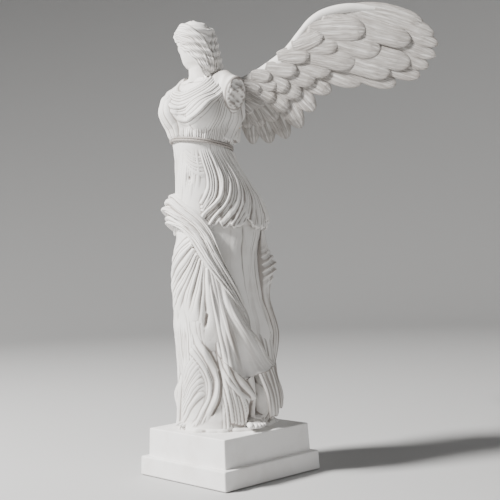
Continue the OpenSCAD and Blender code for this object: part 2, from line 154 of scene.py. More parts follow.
def section(form, up):
    """The columns of a form at each height, by a smooth curve through its rows."""
    keys = np.array(form, float)
    i = np.clip(np.searchsorted(keys[:, 0], up, side="right") - 1, 0, len(keys) - 2)
    t = np.clip((up - keys[i, 0]) / (keys[i + 1, 0] - keys[i, 0]), 0, 1)[:, None]
    before, after = keys[np.maximum(i - 1, 0), 1:], keys[np.minimum(i + 2, len(keys) - 1), 1:]
    a, b = keys[i, 1:], keys[i + 1, 1:]
    return between(before, a, b, after, t)


def on_form(form, turn, up):
    """Points on an oval form: its columns are middle x, middle y, half width, half depth."""
    s = section(form, up)
    a = np.radians(turn)
    return np.stack([s[:, 0] + s[:, 2] * np.sin(a), s[:, 1] - s[:, 3] * np.cos(a), PLINTH_TOP + up], 1)


def raised(form, turn, up, off):
    """Points that stand off a form along its own outward direction."""
    here = on_form(form, turn, up)
    along = on_form(form, turn + 0.5, up) - on_form(form, turn - 0.5, up)
    rise = on_form(form, turn, up + 0.4) - on_form(form, turn, up - 0.4)
    out = np.cross(along, rise)
    length = np.linalg.norm(out, axis=1)
    flat = length < 1e-6
    out[flat] = (0, 0, 1)
    length[flat] = 1
    return here + out / length[:, None] * off[:, None]


# ---- Folds ----
ROUND = 0.62  # millimetres along the skin for one degree of turn, about everywhere on the figure


def nearest_turn(turn, middle):
    """The same turn in the half circle to each side of middle."""
    return (turn - middle + 180) % 360 - 180 + middle


def smooth_line(points, steps=26):
    """A smooth curve through a few [turn, up] points, in millimetres on the unrolled skin."""
    p = np.array(points, float)
    p[:, 0] *= ROUND
    t = np.linspace(0, len(p) - 1, steps)
    i = np.minimum(t.astype(int), len(p) - 2)
    f = (t - i)[:, None]
    before, after = p[np.maximum(i - 1, 0)], p[np.minimum(i + 2, len(p) - 1)]
    a, b = p[i], p[i + 1]
    return between(before, a, b, after, f)


SOFT_CREST = 1.75  # above 1 a fold's flanks run out softly into the cloth; below 1 it is a round cord


def ease(x):
    """From 0 to 1, slow at both ends."""
    x = np.clip(x, 0, 1)
    return x * x * (3 - 2 * x)


def stroke(turn, up, line, width, height, start=0.15, end=0.15, lean=0.0):
    """The height of one fold everywhere: a rounded ridge that follows line and dies out at its ends."""
    width = np.broadcast_to(np.asarray(width, float), len(line)).copy()
    x = nearest_turn(turn, line[:, 0].mean() / ROUND) * ROUND
    reach = width.max() / (1 - abs(lean))
    near = ((x > line[:, 0].min() - reach) & (x < line[:, 0].max() + reach)
            & (up > line[:, 1].min() - reach) & (up < line[:, 1].max() + reach))
    out = np.zeros(len(turn))
    if not near.any():
        return out
    q = np.stack([x[near], up[near]], 1)[:, None, :]
    a, step = line[None, :-1], (line[1:] - line[:-1])[None]
    t = np.clip(((q - a) * step).sum(2) / np.maximum((step ** 2).sum(2), 1e-9), 0, 1)
    gap = q - a - t[..., None] * step
    dist = np.hypot(gap[..., 0], gap[..., 1])
    k = dist.argmin(1)
    rows = np.arange(len(k))
    place = (k + t[rows, k]) / (len(line) - 1)
    side = np.sign(step[0, k, 0] * gap[rows, k, 1] - step[0, k, 1] * gap[rows, k, 0])
    u = dist[rows, k] / np.interp(place, np.linspace(0, 1, len(width)), width)
    u = np.clip(u * (1 + lean * side), 0, 1)
    fade = ease(place / max(start, 0.01)) * ease((1 - place) / max(end, 0.01))
    out[near] = height * (1 - u ** 2) ** SOFT_CREST * fade
    return out


def folds(turn, up, strokes):
    """Many folds together: where two meet, the higher one wins and a crease is left between."""
    total = np.zeros(len(turn))
    for s in strokes:
        total = np.maximum(total, stroke(turn, up, **s))
    return total


def fan(lines, counts, share=0.42, start=0.12, end=0.12, lean=0.30, wander=0.30, late=0.0):
    """Folds that run between guide lines, count of them in each gap; each is as wide as its place allows."""
    strokes = []
    guides = [smooth_line(p) for p in lines]
    for a, b, count in zip(guides, guides[1:], counts):
        gap = np.hypot(*(b - a).T) / count
        for k in range(count):
            f = (k + 0.5 + wander * rng.uniform(-1, 1)) / count
            width = np.maximum(gap * (0.80 + 0.16 * rng.uniform(-1, 1)), 0.9)
            height = share * width.mean() * rng.uniform(0.45, 1.4)
            line = a + (b - a) * f
            first, last = rng.uniform(0, late), 1 - rng.uniform(0, late)
            t = np.linspace(first, last, len(line))
            kept = np.linspace(0, 1, len(line))
            line = np.stack([np.interp(t, kept, line[:, 0]), np.interp(t, kept, line[:, 1])], 1)
            strokes.append(dict(line=line, width=width, height=height, start=start,
                                end=end, lean=lean * rng.uniform(0.2, 1.3)))
    return strokes


def ridge(points, width, height, start=0.15, end=0.15, lean=0.0):
    """One fold along a few [turn, up] points."""
    return dict(line=smooth_line(points), width=width, height=height, start=start, end=end, lean=lean)


def bump(turn, up, at, size, height, power=1.5):
    """A smooth swelling (or hollow) on the skin: size is its half width and half height."""
    dx = (nearest_turn(turn, at[0]) - at[0]) * ROUND / size[0]
    dz = (up - at[1]) / size[1]
    return height * np.clip(1 - dx ** 2 - dz ** 2, 0, 1) ** power


def grain(x, y, z, scale, seed=0):
    """A soft, repeatable unevenness between -1 and 1."""
    total = np.zeros(len(x))
    maker = np.random.default_rng(seed)
    for _ in range(7):
        kx, ky, kz = maker.normal(0, 1, 3) / scale
        total += np.sin(kx * x + ky * y + kz * z + maker.uniform(0, 6.28))
    return total / 4.0


# ---- The body under the cloth: [share of the height, middle x, middle y, half width, half depth] ----
def rows(form, low, height):
    """A form's rows with their heights in millimetres."""
    return [[low + share * height, *rest] for share, *rest in form]


SKIRT_FORM = [[0, -6, 4, 38, 41.5], [.14, -4, 3, 39, 39.5], [.27, -3, 1, 37, 38.5],
              [.45, -3, 2, 39, 41.5], [.64, -3, -3, 36.5, 37], [.86, -3, -4, 36, 35.5]]
TUNIC_FORM = [[0, -3, 1, 36, 37.5], [.24, -3, 0, 35.5, 36.5], [.54, -3, -6, 31, 29],
              [.80, -3, -12, 27, 24], [1, -3, -15, 26.5, 23]]
BODICE_FORM = [[0, -3, -15, 26.5, 23], [.20, -3, -14, 29, 24.5], [.36, -3, -13, 33, 27.5],
               [.55, -3, -13, 34.5, 28], [.76, -3, -12, 34, 21], [.92, -3, -12, 22.5, 13],
               [1, -3, -12, 11, 10]]
SKIRT_FOOT = node_box("skirt")[0][2] - PLINTH_TOP
LOWER = rows(SKIRT_FORM, SKIRT_FOOT, TUNIC_FOOT - SKIRT_FOOT) + rows(TUNIC_FORM, TUNIC_FOOT,
                                                                     GIRDLE_UP - TUNIC_FOOT)
UPPER = rows(BODICE_FORM, GIRDLE_UP, NECK_UP - GIRDLE_UP)
BODY = LOWER[:-1] + UPPER


def girdle_line(turn):
    """The girdle sits high in front, towards the figure's right, and dips behind the left arm."""
    return GIRDLE_UP + 2.2 + 4.6 * np.cos(np.radians(turn + 30))


def capped(form, points, up, radius):
    """Cap points are drawn in towards the middle of the form."""
    middle = section(form, up)
    axis = np.stack([middle[:, 0], middle[:, 1], points[:, 2]], 1)
    return axis + (points - axis) * radius[:, None]


# ---- Skirt ----
def legs(turn, up):
    """The thighs, knees and shins that press through the cloth, and the hollow between them."""
    return (bump(turn, up, (22, 104), (16, 34), 3.0) + bump(turn, up, (4, 44), (15, 36), 2.6)
            + bump(turn, up, (72, 100), (17, 62), 2.6) + bump(turn, up, (-46, 108), (16, 50), 2.4)
            - bump(turn, up, (40, 66), (9, 58), 3.2) - bump(turn, up, (-8, 74), (10, 26), 1.2)
            - bump(turn, up, (96, 60), (9, 50), 3.0) + bump(turn, up, (110, 24), (12, 20), 8.0, 1.0)
            + bump(turn, up, (-57, 24), (12, 15), 4.0) + bump(turn, up, (104, 78), (12, 46), 2.0))


def thigh_folds():
    """Folds that are pulled across the thighs from the knot of the mantle."""
    across = [[(18, 158), (0, 153), (-20, 146), (-45, 139), (-78, 131)],
              [(14, 151), (-3, 144), (-18, 137), (-35, 130), (-70, 117)],
              [(20, 146), (8, 136), (-7, 128), (-27, 120), (-60, 102)],
              [(25, 142), (14, 127), (0, 114), (-18, 104), (-44, 92)],
              [(28, 139), (23, 130), (17, 118), (10, 107), (2, 98)],
              [(32, 138), (29, 124), (25, 110), (20, 98), (14, 88)],
              [(35, 136), (35, 122), (37, 106), (36, 90), (35, 74)],
              [(38, 132), (41, 112), (43, 92), (43, 70), (46, 52)]]
    return fan(across, [2, 2, 3, 2, 2, 2, 2], 0.66, 0.05, 0.45)


def shin_folds():
    """The bow over the shin, the curved folds under it and the thin ones over knee and calf."""
    shin = [[(14, 84), (22, 72), (30, 62), (37, 50), (41, 41), (37, 29), (29, 18), (19, 6)],
            [(8, 74), (17, 66), (25, 57), (31, 48), (34, 40), (31, 29), (24, 18), (13, 5)],
            [(0, 62), (9, 57), (18, 50), (23, 43), (25, 34), (22, 24), (14, 13), (2, 3)]]
    sweep = [[(21, 66), (10, 61), (-2, 52), (-18, 40), (-34, 30)],
             [(20, 60), (8, 51), (-6, 40), (-22, 30), (-38, 22)],
             [(20, 46), (8, 38), (-4, 29), (-18, 20), (-32, 12)],
             [(21, 30), (10, 24), (-2, 16), (-12, 8), (-20, 2)]]
    thin = [[(-58, 104), (-56, 62), (-54, 16)], [(-28, 98), (-30, 62), (-28, 30)],
            [(-2, 96), (-2, 70), (0, 48)], [(14, 94), (20, 72), (27, 56)]]
    knee = [[(16, 92), (15, 82), (16, 72), (20, 62)], [(27, 96), (24, 84), (25, 73), (31, 60)],
            [(36, 88), (36, 74), (38, 62), (42, 48)]]
    strokes = fan(shin, [2, 3], 0.34, 0.10, 0.08) + fan(sweep, [5, 5, 4], 0.27, 0.14, 0.34)
    strokes += fan(thin, [6, 6, 5], 0.26, 0.35, 0.35, late=0.3)
    return strokes + fan(knee, [2, 3], 0.34, 0.3, 0.25)


def front_hem_folds():
    """Deep folds between the legs, down to the hem in front of the left foot."""
    low = [[(37, 76), (41, 62), (46, 46), (50, 28), (56, 6)],
           [(41, 70), (49, 54), (57, 38), (63, 22), (68, 4)],
           [(47, 60), (57, 44), (66, 32), (74, 20), (80, 4)]]
    hem = [[(40, 44), (42, 30), (46, 16), (48, 2)], [(46, 40), (50, 26), (54, 14), (57, 2)]]
    return fan(low, [3, 3], 0.64, 0.16, 0.04) + fan(hem, [3], 0.7, 0.2, 0.04)


def flank_folds():
    """Faint folds down the left thigh and the deep ones of its trailing hem."""
    side = [[(64, 164), (67, 145), (72, 128), (78, 108), (82, 92)],
            [(82, 164), (84, 140), (86, 116), (88, 92), (94, 70)],
            [(98, 164), (96, 140), (94, 112), (97, 84), (104, 62), (110, 40)],
            [(112, 164), (110, 136), (113, 104), (113, 80), (118, 54), (122, 30)]]
    tail = [[(83, 46), (82, 34), (84, 22), (86, 4)], [(92, 56), (90, 38), (93, 20), (94, 3)],
            [(101, 58), (103, 38), (106, 20), (104, 4)], [(112, 56), (116, 38), (121, 22), (120, 6)]]
    strokes = fan(side, [2, 1, 2], 0.12, 0.06, 0.3, wander=0.5)
    return strokes + fan(tail, [2, 3, 3], 1.0, 0.15, 0.02)


def skirt_back_folds():
    """Long hanging folds behind and down the right side."""
    back = [[(turn + 4 * math.sin(turn), 166), (turn - 3 + 2 * math.cos(turn * 2), 122),
             (turn + 3, 74), (turn + 3 * math.sin(turn * 3), 36), (turn + 6 * math.cos(turn), 1)]
            for turn in (120, 132, 150, 164, 176, 194, 212, 224, 240, 258)]
    right = [[(-98, 150), (-94, 112), (-100, 70), (-104, 34), (-104, 2)],
             [(-84, 140), (-78, 104), (-82, 66), (-84, 34), (-88, 2)],
             [(-70, 118), (-62, 90), (-64, 60), (-68, 32), (-70, 2)],
             [(-52, 84), (-48, 62), (-50, 40), (-52, 20), (-52, 2)],
             [(-36, 40), (-34, 28), (-34, 14), (-34, 2)]]
    strokes = fan(back, [1, 3, 2, 1, 2, 3, 1, 2, 2], 0.66, 0.12, 0.05, wander=0.6, late=0.16)
    return strokes + fan(right, [3, 3, 3, 3], 0.50, 0.35, 0.06)


def skirt_folds():
    """All folds of the skirt, with the few large ones placed one by one."""
    strokes = thigh_folds() + shin_folds() + front_hem_folds() + flank_folds() + skirt_back_folds()
    strokes += [ridge([(12, 88), (20, 72), (30, 62), (38, 50), (42, 41), (39, 29), (31, 18), (20, 8)],
                      3.6, 3.0, 0.3, 0.30, 0.42),
                ridge([(38, 128), (40, 108), (41, 90), (42, 72), (47, 56)], 3.4, 3.4),
                ridge([(40, 66), (46, 50), (56, 38), (68, 28), (82, 22)], 3.6, 2.0, 0.4, 0.3),
                ridge([(60, 48), (70, 38), (82, 27), (86, 20)], 3.6, 2.4, 0.4, 0.3),
                ridge([(20, 104), (25, 100), (29, 94), (31, 86)], 2.4, 1.6, 0.4, 0.4)]
    return strokes


def skirt_cloth(material):
    """The long lower garment, from the ground up to under the tunic."""
    low, top = 0.3, TUNIC_FOOT + 6
    strokes = skirt_folds()
    hollow = [ridge([(34, 96), (31, 90), (29, 83)], 2.3, 2.6, 0.3, 0.5),
              ridge([(97, 54), (93, 36), (91, 10)], 4.6, 9.0, 0.3, 0.0),
              ridge([(84, 26), (80, 12), (78, 0)], 4.0, 6.0, 0.3, 0.0),
              ridge([(104, 30), (104, 14), (103, 0)], 2.4, 4.0, 0.3, 0.0),
              ridge([(41, 50), (43, 40), (40, 28), (31, 12)], 1.8, 2.6),
              ridge([(-52, 24), (-46, 12), (-44, 0)], 2.2, 2.6, 0.3, 0.0)]
    fine = fan([[(turn, 162), (turn - 2, 120), (turn + 1, 80), (turn + 3, 40), (turn + 2, 2)]
                for turn in range(50, 120, 9)], [3] * 7, 0.40, 0.05, 0.05)

    def shape(turn, radius, height):
        up = low + (top - low) * height
        off = legs(turn, up) + folds(turn, up, strokes) - folds(turn, up, hollow) - 1.4
        off += 0.06 * folds(turn, up, fine)
        off += 2.2 * np.clip(1 - up / 9, 0, 1) ** 2
        points = raised(BODY, turn, up, off)
        points += 0.25 * grain(*points.T, 5.0, 3)[:, None] * np.array([1, 1, 0])
        points[:, 2] = np.maximum(points[:, 2], PLINTH_TOP + low * 0.5)
        return capped(BODY, points, up, radius)

    return piece("skirt_cloth", moulded(drum(384, 232), shape), material, "skirt")


# ---- Tunic ----
def hem_line(turn):
    """The tunic's wavy lower edge, millimetres above the plinth."""
    wave = (1.8 * np.sin(np.radians(turn * 9)) + 1.5 * np.sin(np.radians(turn * 17 + 40))
            + 1.0 * np.sin(np.radians(turn * 31)) + 0.5 * np.sin(np.radians(turn * 53)))
    lift = 5.0 * np.exp(-(nearest_turn(turn - 80, 0) / 6.0) ** 2)
    return 162.5 + wave + lift - 2.0 * np.exp(-(nearest_turn(turn - 93, 0) / 5.0) ** 2)


def tunic_side_folds():
    """Bowed folds that swing from the girdle's side forward to the hem."""
    side = [[(38, 226), (41, 217), (43, 207), (42, 198), (37, 190), (28, 182)],
            [(50, 227), (53, 216), (54, 206), (51, 196), (46, 187), (36, 179), (29, 174)],
            [(62, 226), (66, 216), (67, 206), (63, 196), (56, 186), (43, 179), (32, 174), (28, 170)],
            [(72, 227), (80, 214), (79, 202), (71, 191), (60, 181), (46, 174), (36, 168), (33, 163)],
            [(84, 228), (91, 212), (92, 199), (84, 186), (74, 176), (60, 167), (52, 161)],
            [(96, 228), (104, 210), (105, 195), (98, 182), (88, 171), (78, 160)],
            [(108, 228), (114, 210), (116, 194), (110, 178), (103, 160)],
            [(120, 228), (126, 208), (128, 190), (124, 174), (120, 160)]]
    return fan(side, [3, 3, 4, 3, 4, 3, 3], 0.78, 0.22, 0.04)


def tunic_back_folds():
    """Hanging folds behind, and finer ones down the right hip."""
    back = [[(turn, 229), (turn + 6 * math.sin(turn), 210), (turn + 4 * math.cos(turn * 2), 188),
             (turn + 5 * math.sin(turn * 3), 160)]
            for turn in (120, 136, 148, 168, 190, 204, 220, 244, 258)]
    right = [[(-102, 229), (-98, 208), (-96, 188), (-96, 160)],
             [(-82, 229), (-76, 210), (-74, 190), (-72, 162)],
             [(-60, 229), (-54, 212), (-50, 196), (-48, 176)]]
    strokes = fan(back, [2, 1, 2, 3, 1, 2, 2, 2], 0.70, 0.12, 0.04, wander=0.6, late=0.12)
    return strokes + fan(right, [4, 4], 0.55, 0.3, 0.06)


def tunic_front_folds():
    """Small hanging loops under the girdle and thin folds that cling to the belly."""
    belly = [[(8, 228), (22, 223), (37, 221), (52, 226)], [(4, 224), (20, 217), (36, 214), (50, 217)],
             [(4, 218), (20, 209), (34, 205), (46, 206)]]
    thin = [[(-44, 228), (-38, 206), (-36, 184)], [(-14, 229), (-18, 204), (-22, 178)],
            [(12, 229), (4, 204), (-6, 174)], [(34, 228), (32, 206), (16, 178)]]
    far = [[(-56, 229), (-50, 212), (-48, 196), (-44, 180)], [(-40, 228), (-34, 212), (-33, 196), (-32, 186)]]
    strokes = fan(belly, [3, 3], 0.34, 0.4, 0.4) + fan(thin, [7, 7, 6], 0.24, 0.3, 0.35, late=0.3)
    return strokes + fan(far, [3], 0.30, 0.2, 0.3)


def tunic_folds():
    """All folds of the tunic, with the three large bows over the left hip."""
    strokes = tunic_side_folds() + tunic_back_folds() + tunic_front_folds()
    strokes += [ridge([(60, 226), (65, 216), (66, 206), (62, 196), (54, 186), (42, 179), (32, 174),
                       (27, 168)], 2.6, 3.0, 0.35, 0.05),
                ridge([(78, 214), (77, 202), (69, 190), (58, 180), (45, 172), (36, 164)],
                      2.1, 2.8, 0.35, 0.04),
                ridge([(90, 210), (91, 198), (83, 185), (74, 175), (62, 163)], 2.1, 2.6, 0.35, 0.04)]
    return strokes


def belly_and_hips(turn, up):
    """The body that shows through the tunic, with the navel."""
    return (bump(turn, up, (12, 196), (30, 30), 3.4) + bump(turn, up, (92, 186), (34, 30), 2.0)
            + bump(turn, up, (180, 180), (44, 34), 4.0) - bump(turn, up, (14, 203), (5.0, 6.0), 1.0)
            - bump(turn, up, (14, 203), (1.8, 2.4), 1.0) - bump(turn, up, (-30, 222), (20, 20), 1.2))


def tunic_cloth(material):
    """The overfold, from inside its wavy hem up to the girdle."""
    strokes = tunic_folds()
    turned_in = 0.10
    gathers = fan([[(turn, 238), (turn + 1, 219)] for turn in range(58, 330, 8)], [2] * 33, 0.3, 0.02, 0.6)
    guides = [[(40, 226), (46, 212), (45, 198), (38, 186), (30, 176)],
              [(72, 227), (80, 212), (78, 198), (64, 182), (42, 166)],
              [(104, 228), (110, 208), (108, 190), (100, 174), (92, 161)],
              [(140, 228), (144, 208), (142, 186), (140, 160)]]
    fine = fan(guides, [13, 11, 11], 0.5, 0.15, 0.02)

    def shape(turn, radius, height):
        hem, top = hem_line(turn), girdle_line(turn) + 0.6
        inside = height < turned_in
        f = np.where(inside, height / turned_in, (height - turned_in) / (1 - turned_in))
        up = np.where(inside, hem + 11 - 10.5 * f ** 0.8, hem + (top - hem) * f)
        off = belly_and_hips(turn, up)
        relief = folds(turn, up, strokes) + 0.6 * folds(turn, up, gathers) + 0.42 * folds(turn, up, fine)
        flare = 3.2 * np.clip(1 - (up - hem) / 20, 0, 1) ** 2
        flare *= 1 - 0.8 * np.exp(-(nearest_turn(turn - 8, 0) / 42.0) ** 4)
        lip = -1.6 * np.clip(1 - (up - hem) / 1.6, 0, 1) ** 2
        outer = off + relief * 0.95 + flare - 1.0 + lip
        inner = off + relief * 0.7 + 3.2 * np.clip(1 - (up - hem) / 20, 0, 1) ** 2 - 3.0
        inner -= 2.4 * np.clip((up - hem) / 8, 0, 1)
        nip = -1.3 * np.clip(1 - (girdle_line(turn) - up) / 5, 0, 1) ** 2
        points = raised(BODY, turn, up, np.where(inside, np.minimum(inner, outer - 1.0), outer + nip))
        return capped(BODY, points, up, radius)

    return piece("tunic_cloth", moulded(drum(480, 180), shape), material, "tunic")


# ---- Bodice ----
def chest(turn, up):
    """The breast, shoulder and spine under the bodice."""
    return (bump(turn, up, (45, 254), (17, 16), 8.0, 1.3) + bump(turn, up, (-20, 260), (16, 16), 3.6, 1.2)
            + bump(turn, up, (-46, 275), (20, 13), 3.0) - bump(turn, up, (-44, 250), (10, 10), 1.0)
            - bump(turn, up, (12, 250), (7, 15), 1.6) + bump(turn, up, (180, 262), (34, 20), 1.5)
            - bump(turn, up, (180, 258), (5, 24), 1.5))


def breast_folds():
    """Swags hung between the shoulders, and folds that run round each breast to the girdle."""
    swags = [[(80, 288), (54, 284), (30, 278), (8, 274), (-11, 274), (-40, 281)],
             [(81, 284), (56, 277), (32, 269), (12, 264), (-8, 265), (-36, 274)],
             [(81, 279), (60, 269), (38, 259), (20, 254), (2, 254), (-16, 263)],
             [(80, 273), (64, 262), (46, 251), (32, 246), (18, 245), (4, 250)]]
    around_near = [[(80, 274), (68, 263), (58, 251), (50, 241), (44, 233)],
                   [(82, 275), (76, 262), (69, 250), (62, 240), (56, 232)],
                   [(84, 272), (84, 260), (80, 248), (74, 239), (68, 231)]]
    around_far = [[(-12, 268), (-6, 258), (-2, 248), (0, 236)],
                  [(-46, 276), (-44, 262), (-36, 248), (-28, 234)],
                  [(-62, 282), (-62, 264), (-56, 248), (-48, 232)],
                  [(-84, 272), (-84, 256), (-80, 232)]]
    strokes = fan(swags, [4, 4, 3], 0.74, 0.10, 0.20) + fan(around_near, [3, 3], 0.46, 0.25, 0.05)
    return strokes + fan(around_far, [3, 3, 3], 0.5, 0.2, 0.05)


def bodice_folds():
    """The breast's folds, small gathers over the girdle, and folds under the arm and behind."""
    gathers = [[(turn, 245 + 3 * math.sin(turn)), (turn + 1, 238), (turn + 1, 230)]
               for turn in range(-60, 100, 6)]
    back = [[(180 + (turn - 180) * 0.6, 286), (turn - 4, 262), (turn + 3, 246), (turn, 230)]
            for turn in (116, 128, 146, 162, 184, 206, 222, 244)]
    under_arm = [[(90, 262), (94, 252), (90, 242), (82, 232)],
                 [(100, 260), (106, 250), (104, 240), (98, 231)],
                 [(112, 260), (120, 248), (120, 238), (114, 231)]]
    strokes = breast_folds() + fan(gathers, [2] * (len(gathers) - 1), 0.7, 0.5, 0.02)
    strokes += fan(under_arm, [2, 2], 0.60, 0.3, 0.1)
    return strokes + fan(back, [2, 1, 2, 3, 1, 2, 2], 0.66, 0.2, 0.04, wander=0.6, late=0.15)


def cut_to_seats(points):
    """Flattens the back where a wing's root is seated, on both sides."""
    half_wide, below, above = 7.5, -34, 30
    for side in (1, -1):
        from_middle = np.stack([(points[:, 0] - BODY_X) * side + BODY_X, points[:, 1]], 1) - WING_MIDDLE
        ahead = from_middle @ WING_DIR - SEAT_AHEAD
        aside = from_middle @ WING_OUT
        level = points[:, 2] - WING_ROOT_Z
        seated = (np.abs(aside) < half_wide) & (level > below) & (level < above)
        over = np.where(seated, np.maximum(ahead, 0), 0)
        points[:, 0] -= over * WING_DIR[0] * side
        points[:, 1] -= over * WING_DIR[1]
    return points


def bodice_cloth(material):
    """The bodice from the girdle to the neck, with bare shoulders and flat wing seats."""
    strokes = bodice_folds()
    edge = [ridge([(106, 258), (94, 255), (86, 260), (82, 270), (79, 280), (74, 289)], 1.5, 1.3),
            ridge([(-108, 258), (-96, 255), (-88, 262), (-84, 272), (-80, 284)], 1.5, 1.3),
            ridge([(68, 288), (48, 284), (28, 278), (8, 273), (-14, 274), (-44, 282), (-66, 287)], 1.3, 0.9)]

    def shape(turn, radius, height):
        foot = girdle_line(turn) - 0.6
        up = foot + (NECK_UP - foot) * height
        neckline = np.interp(turn, [-180, -100, -72, -44, -14, 8, 28, 48, 68, 100, 180],
                             [289, 289, 287, 282, 274, 273, 278, 284, 288, 290, 289])
        clothed = 1 / (1 + np.exp((up - neckline) / 0.7))
        bare_arm = np.maximum(np.exp(-(nearest_turn(turn - 90, 0) / 16) ** 4),
                              np.exp(-(nearest_turn(turn + 92, 0) / 16) ** 4))
        clothed *= 1 - bare_arm * np.clip((up - 262) / 6, 0, 1)
        nip = -1.3 * np.clip(1 - (up - girdle_line(turn)) / 4, 0, 1) ** 2
        off = chest(turn, up) + (folds(turn, up, strokes) + 0.5) * clothed + folds(turn, up, edge) - 0.9 + nip
        collar = bump(turn, up, (26, 284), (16, 3), 0.8) + bump(turn, up, (-22, 284), (16, 3), 0.8)
        roots = sum(bump(turn, up, (at, 256), (15, 30), 4.5, 1.0) for at in (140, -140))
        points = cut_to_seats(raised(BODY, turn, up, off + collar + roots))
        return capped(BODY, points, up, radius)

    return piece("bodice_cloth", moulded(drum(480, 150), shape), material, "bodice")


# ---- Girdle: a doubled cord ----
def girdle(material):
    """Two thin twisted cords, one over the other."""
    cord_radius, strands = 0.95, 60

    def ring(drop):
        def shape(turn, radius, height):
            around, over = 360 * height - 180, np.radians(turn)
            up = girdle_line(around) + 0.9 - drop
            twist = 1 + 0.10 * np.sin(np.radians(around * strands) + 2 * over)
            p = raised(BODY, around, up, 0.2 + cord_radius * twist * radius * np.cos(over))
            p[:, 2] += cord_radius * twist * radius * np.sin(over)
            return p
        return moulded(drum(14, 420), shape)

    return piece("girdle", joined([ring(0.0), ring(1.8)]), material, "girdle_cord")


# ---- The mantle: bands laid over the body ----
def spread(values, t):
    """A smooth curve through evenly spaced values."""
    keys = np.array(values, float)
    x = np.clip(t, 0, 1) * (len(keys) - 1)
    i = np.minimum(x.astype(int), len(keys) - 2)
    f = x - i
    before, after = keys[np.maximum(i - 1, 0)], keys[np.minimum(i + 2, len(keys) - 1)]
    a, b = keys[i], keys[i + 1]
    return between(before, a, b, after, f)


def band(stations, relief, around=200, along=260, sag=None, edge=0.0):
    """A closed strip over the body. stations: [turn, up] of one edge, [turn, up] of the other, lift.
    edge is the share of the lift that the strip keeps at its two edges, where air is left under it."""
    one_turn, one_up, two_turn, two_up, lift = np.array(stations, float).T

    def shape(turn, radius, height):
        lap = (turn + 180) / 180
        outer = lap <= 1
        s = np.where(outer, lap, 2 - lap)
        s = 0.5 - 0.5 * np.cos(math.pi * s) * 0.55 + (s - 0.5) * 0.45
        s = np.clip(s, 0, 1)
        s = 0.5 + (s - 0.5) * radius
        t = height
        at = spread(one_turn, t) * (1 - s) + spread(two_turn, t) * s
        up = spread(one_up, t) * (1 - s) + spread(two_up, t) * s
        if sag is not None:
            up = up + sag(s, t)
        bulge = np.clip(4 * s * (1 - s), 0, 1) ** 0.45
        level = spread(lift, t) * (edge + (1 - edge) * bulge)
        crests = relief(s, t) * np.minimum(1, bulge * 1.6)
        under = level + crests * 0.6 - 1.6 * bulge if edge else -1.5 * bulge
        middle = (level + crests + under) / 2
        off = np.where(outer, level + crests, under)
        return raised(BODY, at, up, middle + (off - middle) * radius)

    return moulded(drum(around, along), shape)


def cross_ridges(s, t, places, widths, heights, sway, seed):
    """Long folds that run down a band at given places across it."""
    total = np.zeros(len(s))
    maker = np.random.default_rng(seed)
    for place, width, height in zip(places, widths, heights):
        phase, beat = maker.uniform(0, 6.28), maker.uniform(3, 7)
        middle = place + sway * np.sin(beat * t + phase) * 4 * place * (1 - place)
        u = np.clip((s - middle) / width, -1, 1)
        swell = 0.75 + 0.25 * np.sin(2.3 * beat * t + phase)
        total = np.maximum(total, height * (1 - u ** 2) ** 1.15 * swell)
    return total


ROLL = [[-172, 150, -172, 138, 3], [-140, 162, -140, 138, 6], [-105, 172, -110, 142, 7],
        [-70, 184, -72, 158, 8.5], [-46, 191, -46, 165, 8], [-22, 192, -22, 165, 6.5],
        [4, 184, 0, 160, 6], [25, 175, 16, 150, 6.5], [39, 163, 28, 139, 7], [48, 151, 37, 130, 7],
        [58, 137, 47, 120, 6], [68, 123, 58, 108, 5], [77, 109, 68, 97, 4], [82, 94, 75, 86, 3],
        [80, 76, 78, 73, 1]]


def mantle_roll(material):
    """The rolled mantle, from behind the right hip round to the left knee."""
    def relief(s, t):
        main = cross_ridges(s, t, [.05, .19, .33, .50, .64, .80, .95], [.08, .10, .08, .12, .09, .11, .07],
                            [3.4, 3.6, 2.6, 4.6, 3.0, 4.4, 2.6], 0.16, 4)
        fine = cross_ridges(s, t, np.linspace(.04, .96, 15), [.036] * 15, [1.0] * 15, 0.22, 9)
        return main + fine - 2.0

    return piece("mantle_roll", band(ROLL, relief), material, "hip_mantle")


FLAP = [[30, 142, 64, 118, 0], [36, 130, 72, 98, 2.4], [40, 112, 77, 84, 4.4], [42, 96, 83, 75, 5.4],
        [43, 80, 90, 67, 6.4], [45, 68, 97, 60, 7.6], [47, 58, 104, 54, 9.5]]


def mantle_flap(material):
    """The mantle's free end in front, which opens out and dips to a corner."""
    def sag(s, t):
        dip = np.minimum(s / 0.40, (1 - s) / 0.60)
        return -(15 * dip * t ** 4) + 0.8 * np.sin(s * 14) * t ** 8

    def relief(s, t):
        main = cross_ridges(s, t, [.05, .19, .33, .66, .96], [.09, .10, .12, .26, .10],
                            [3.4, 3.0, 4.2, 6.4, 5.0], 0.05, 12)
        fine = cross_ridges(s, t, np.linspace(.04, .96, 9), [.06] * 9, [0.30] * 9, 0.16, 3)
        open_out = np.clip((t - 0.45) / 0.4, 0, 1)
        calm = 1 - 0.22 * open_out * np.exp(-((s - .50) / .40) ** 4)
        hollow = -3.0 * open_out * np.exp(-((s - .46) / .12) ** 2)
        return (main + fine) * calm + hollow + 1.6 * np.clip((t - .9) / .1, 0, 1) ** 2

    return piece("mantle_flap", band(FLAP, relief, 220, 200, sag, 0.8), material, "mantle_fall")


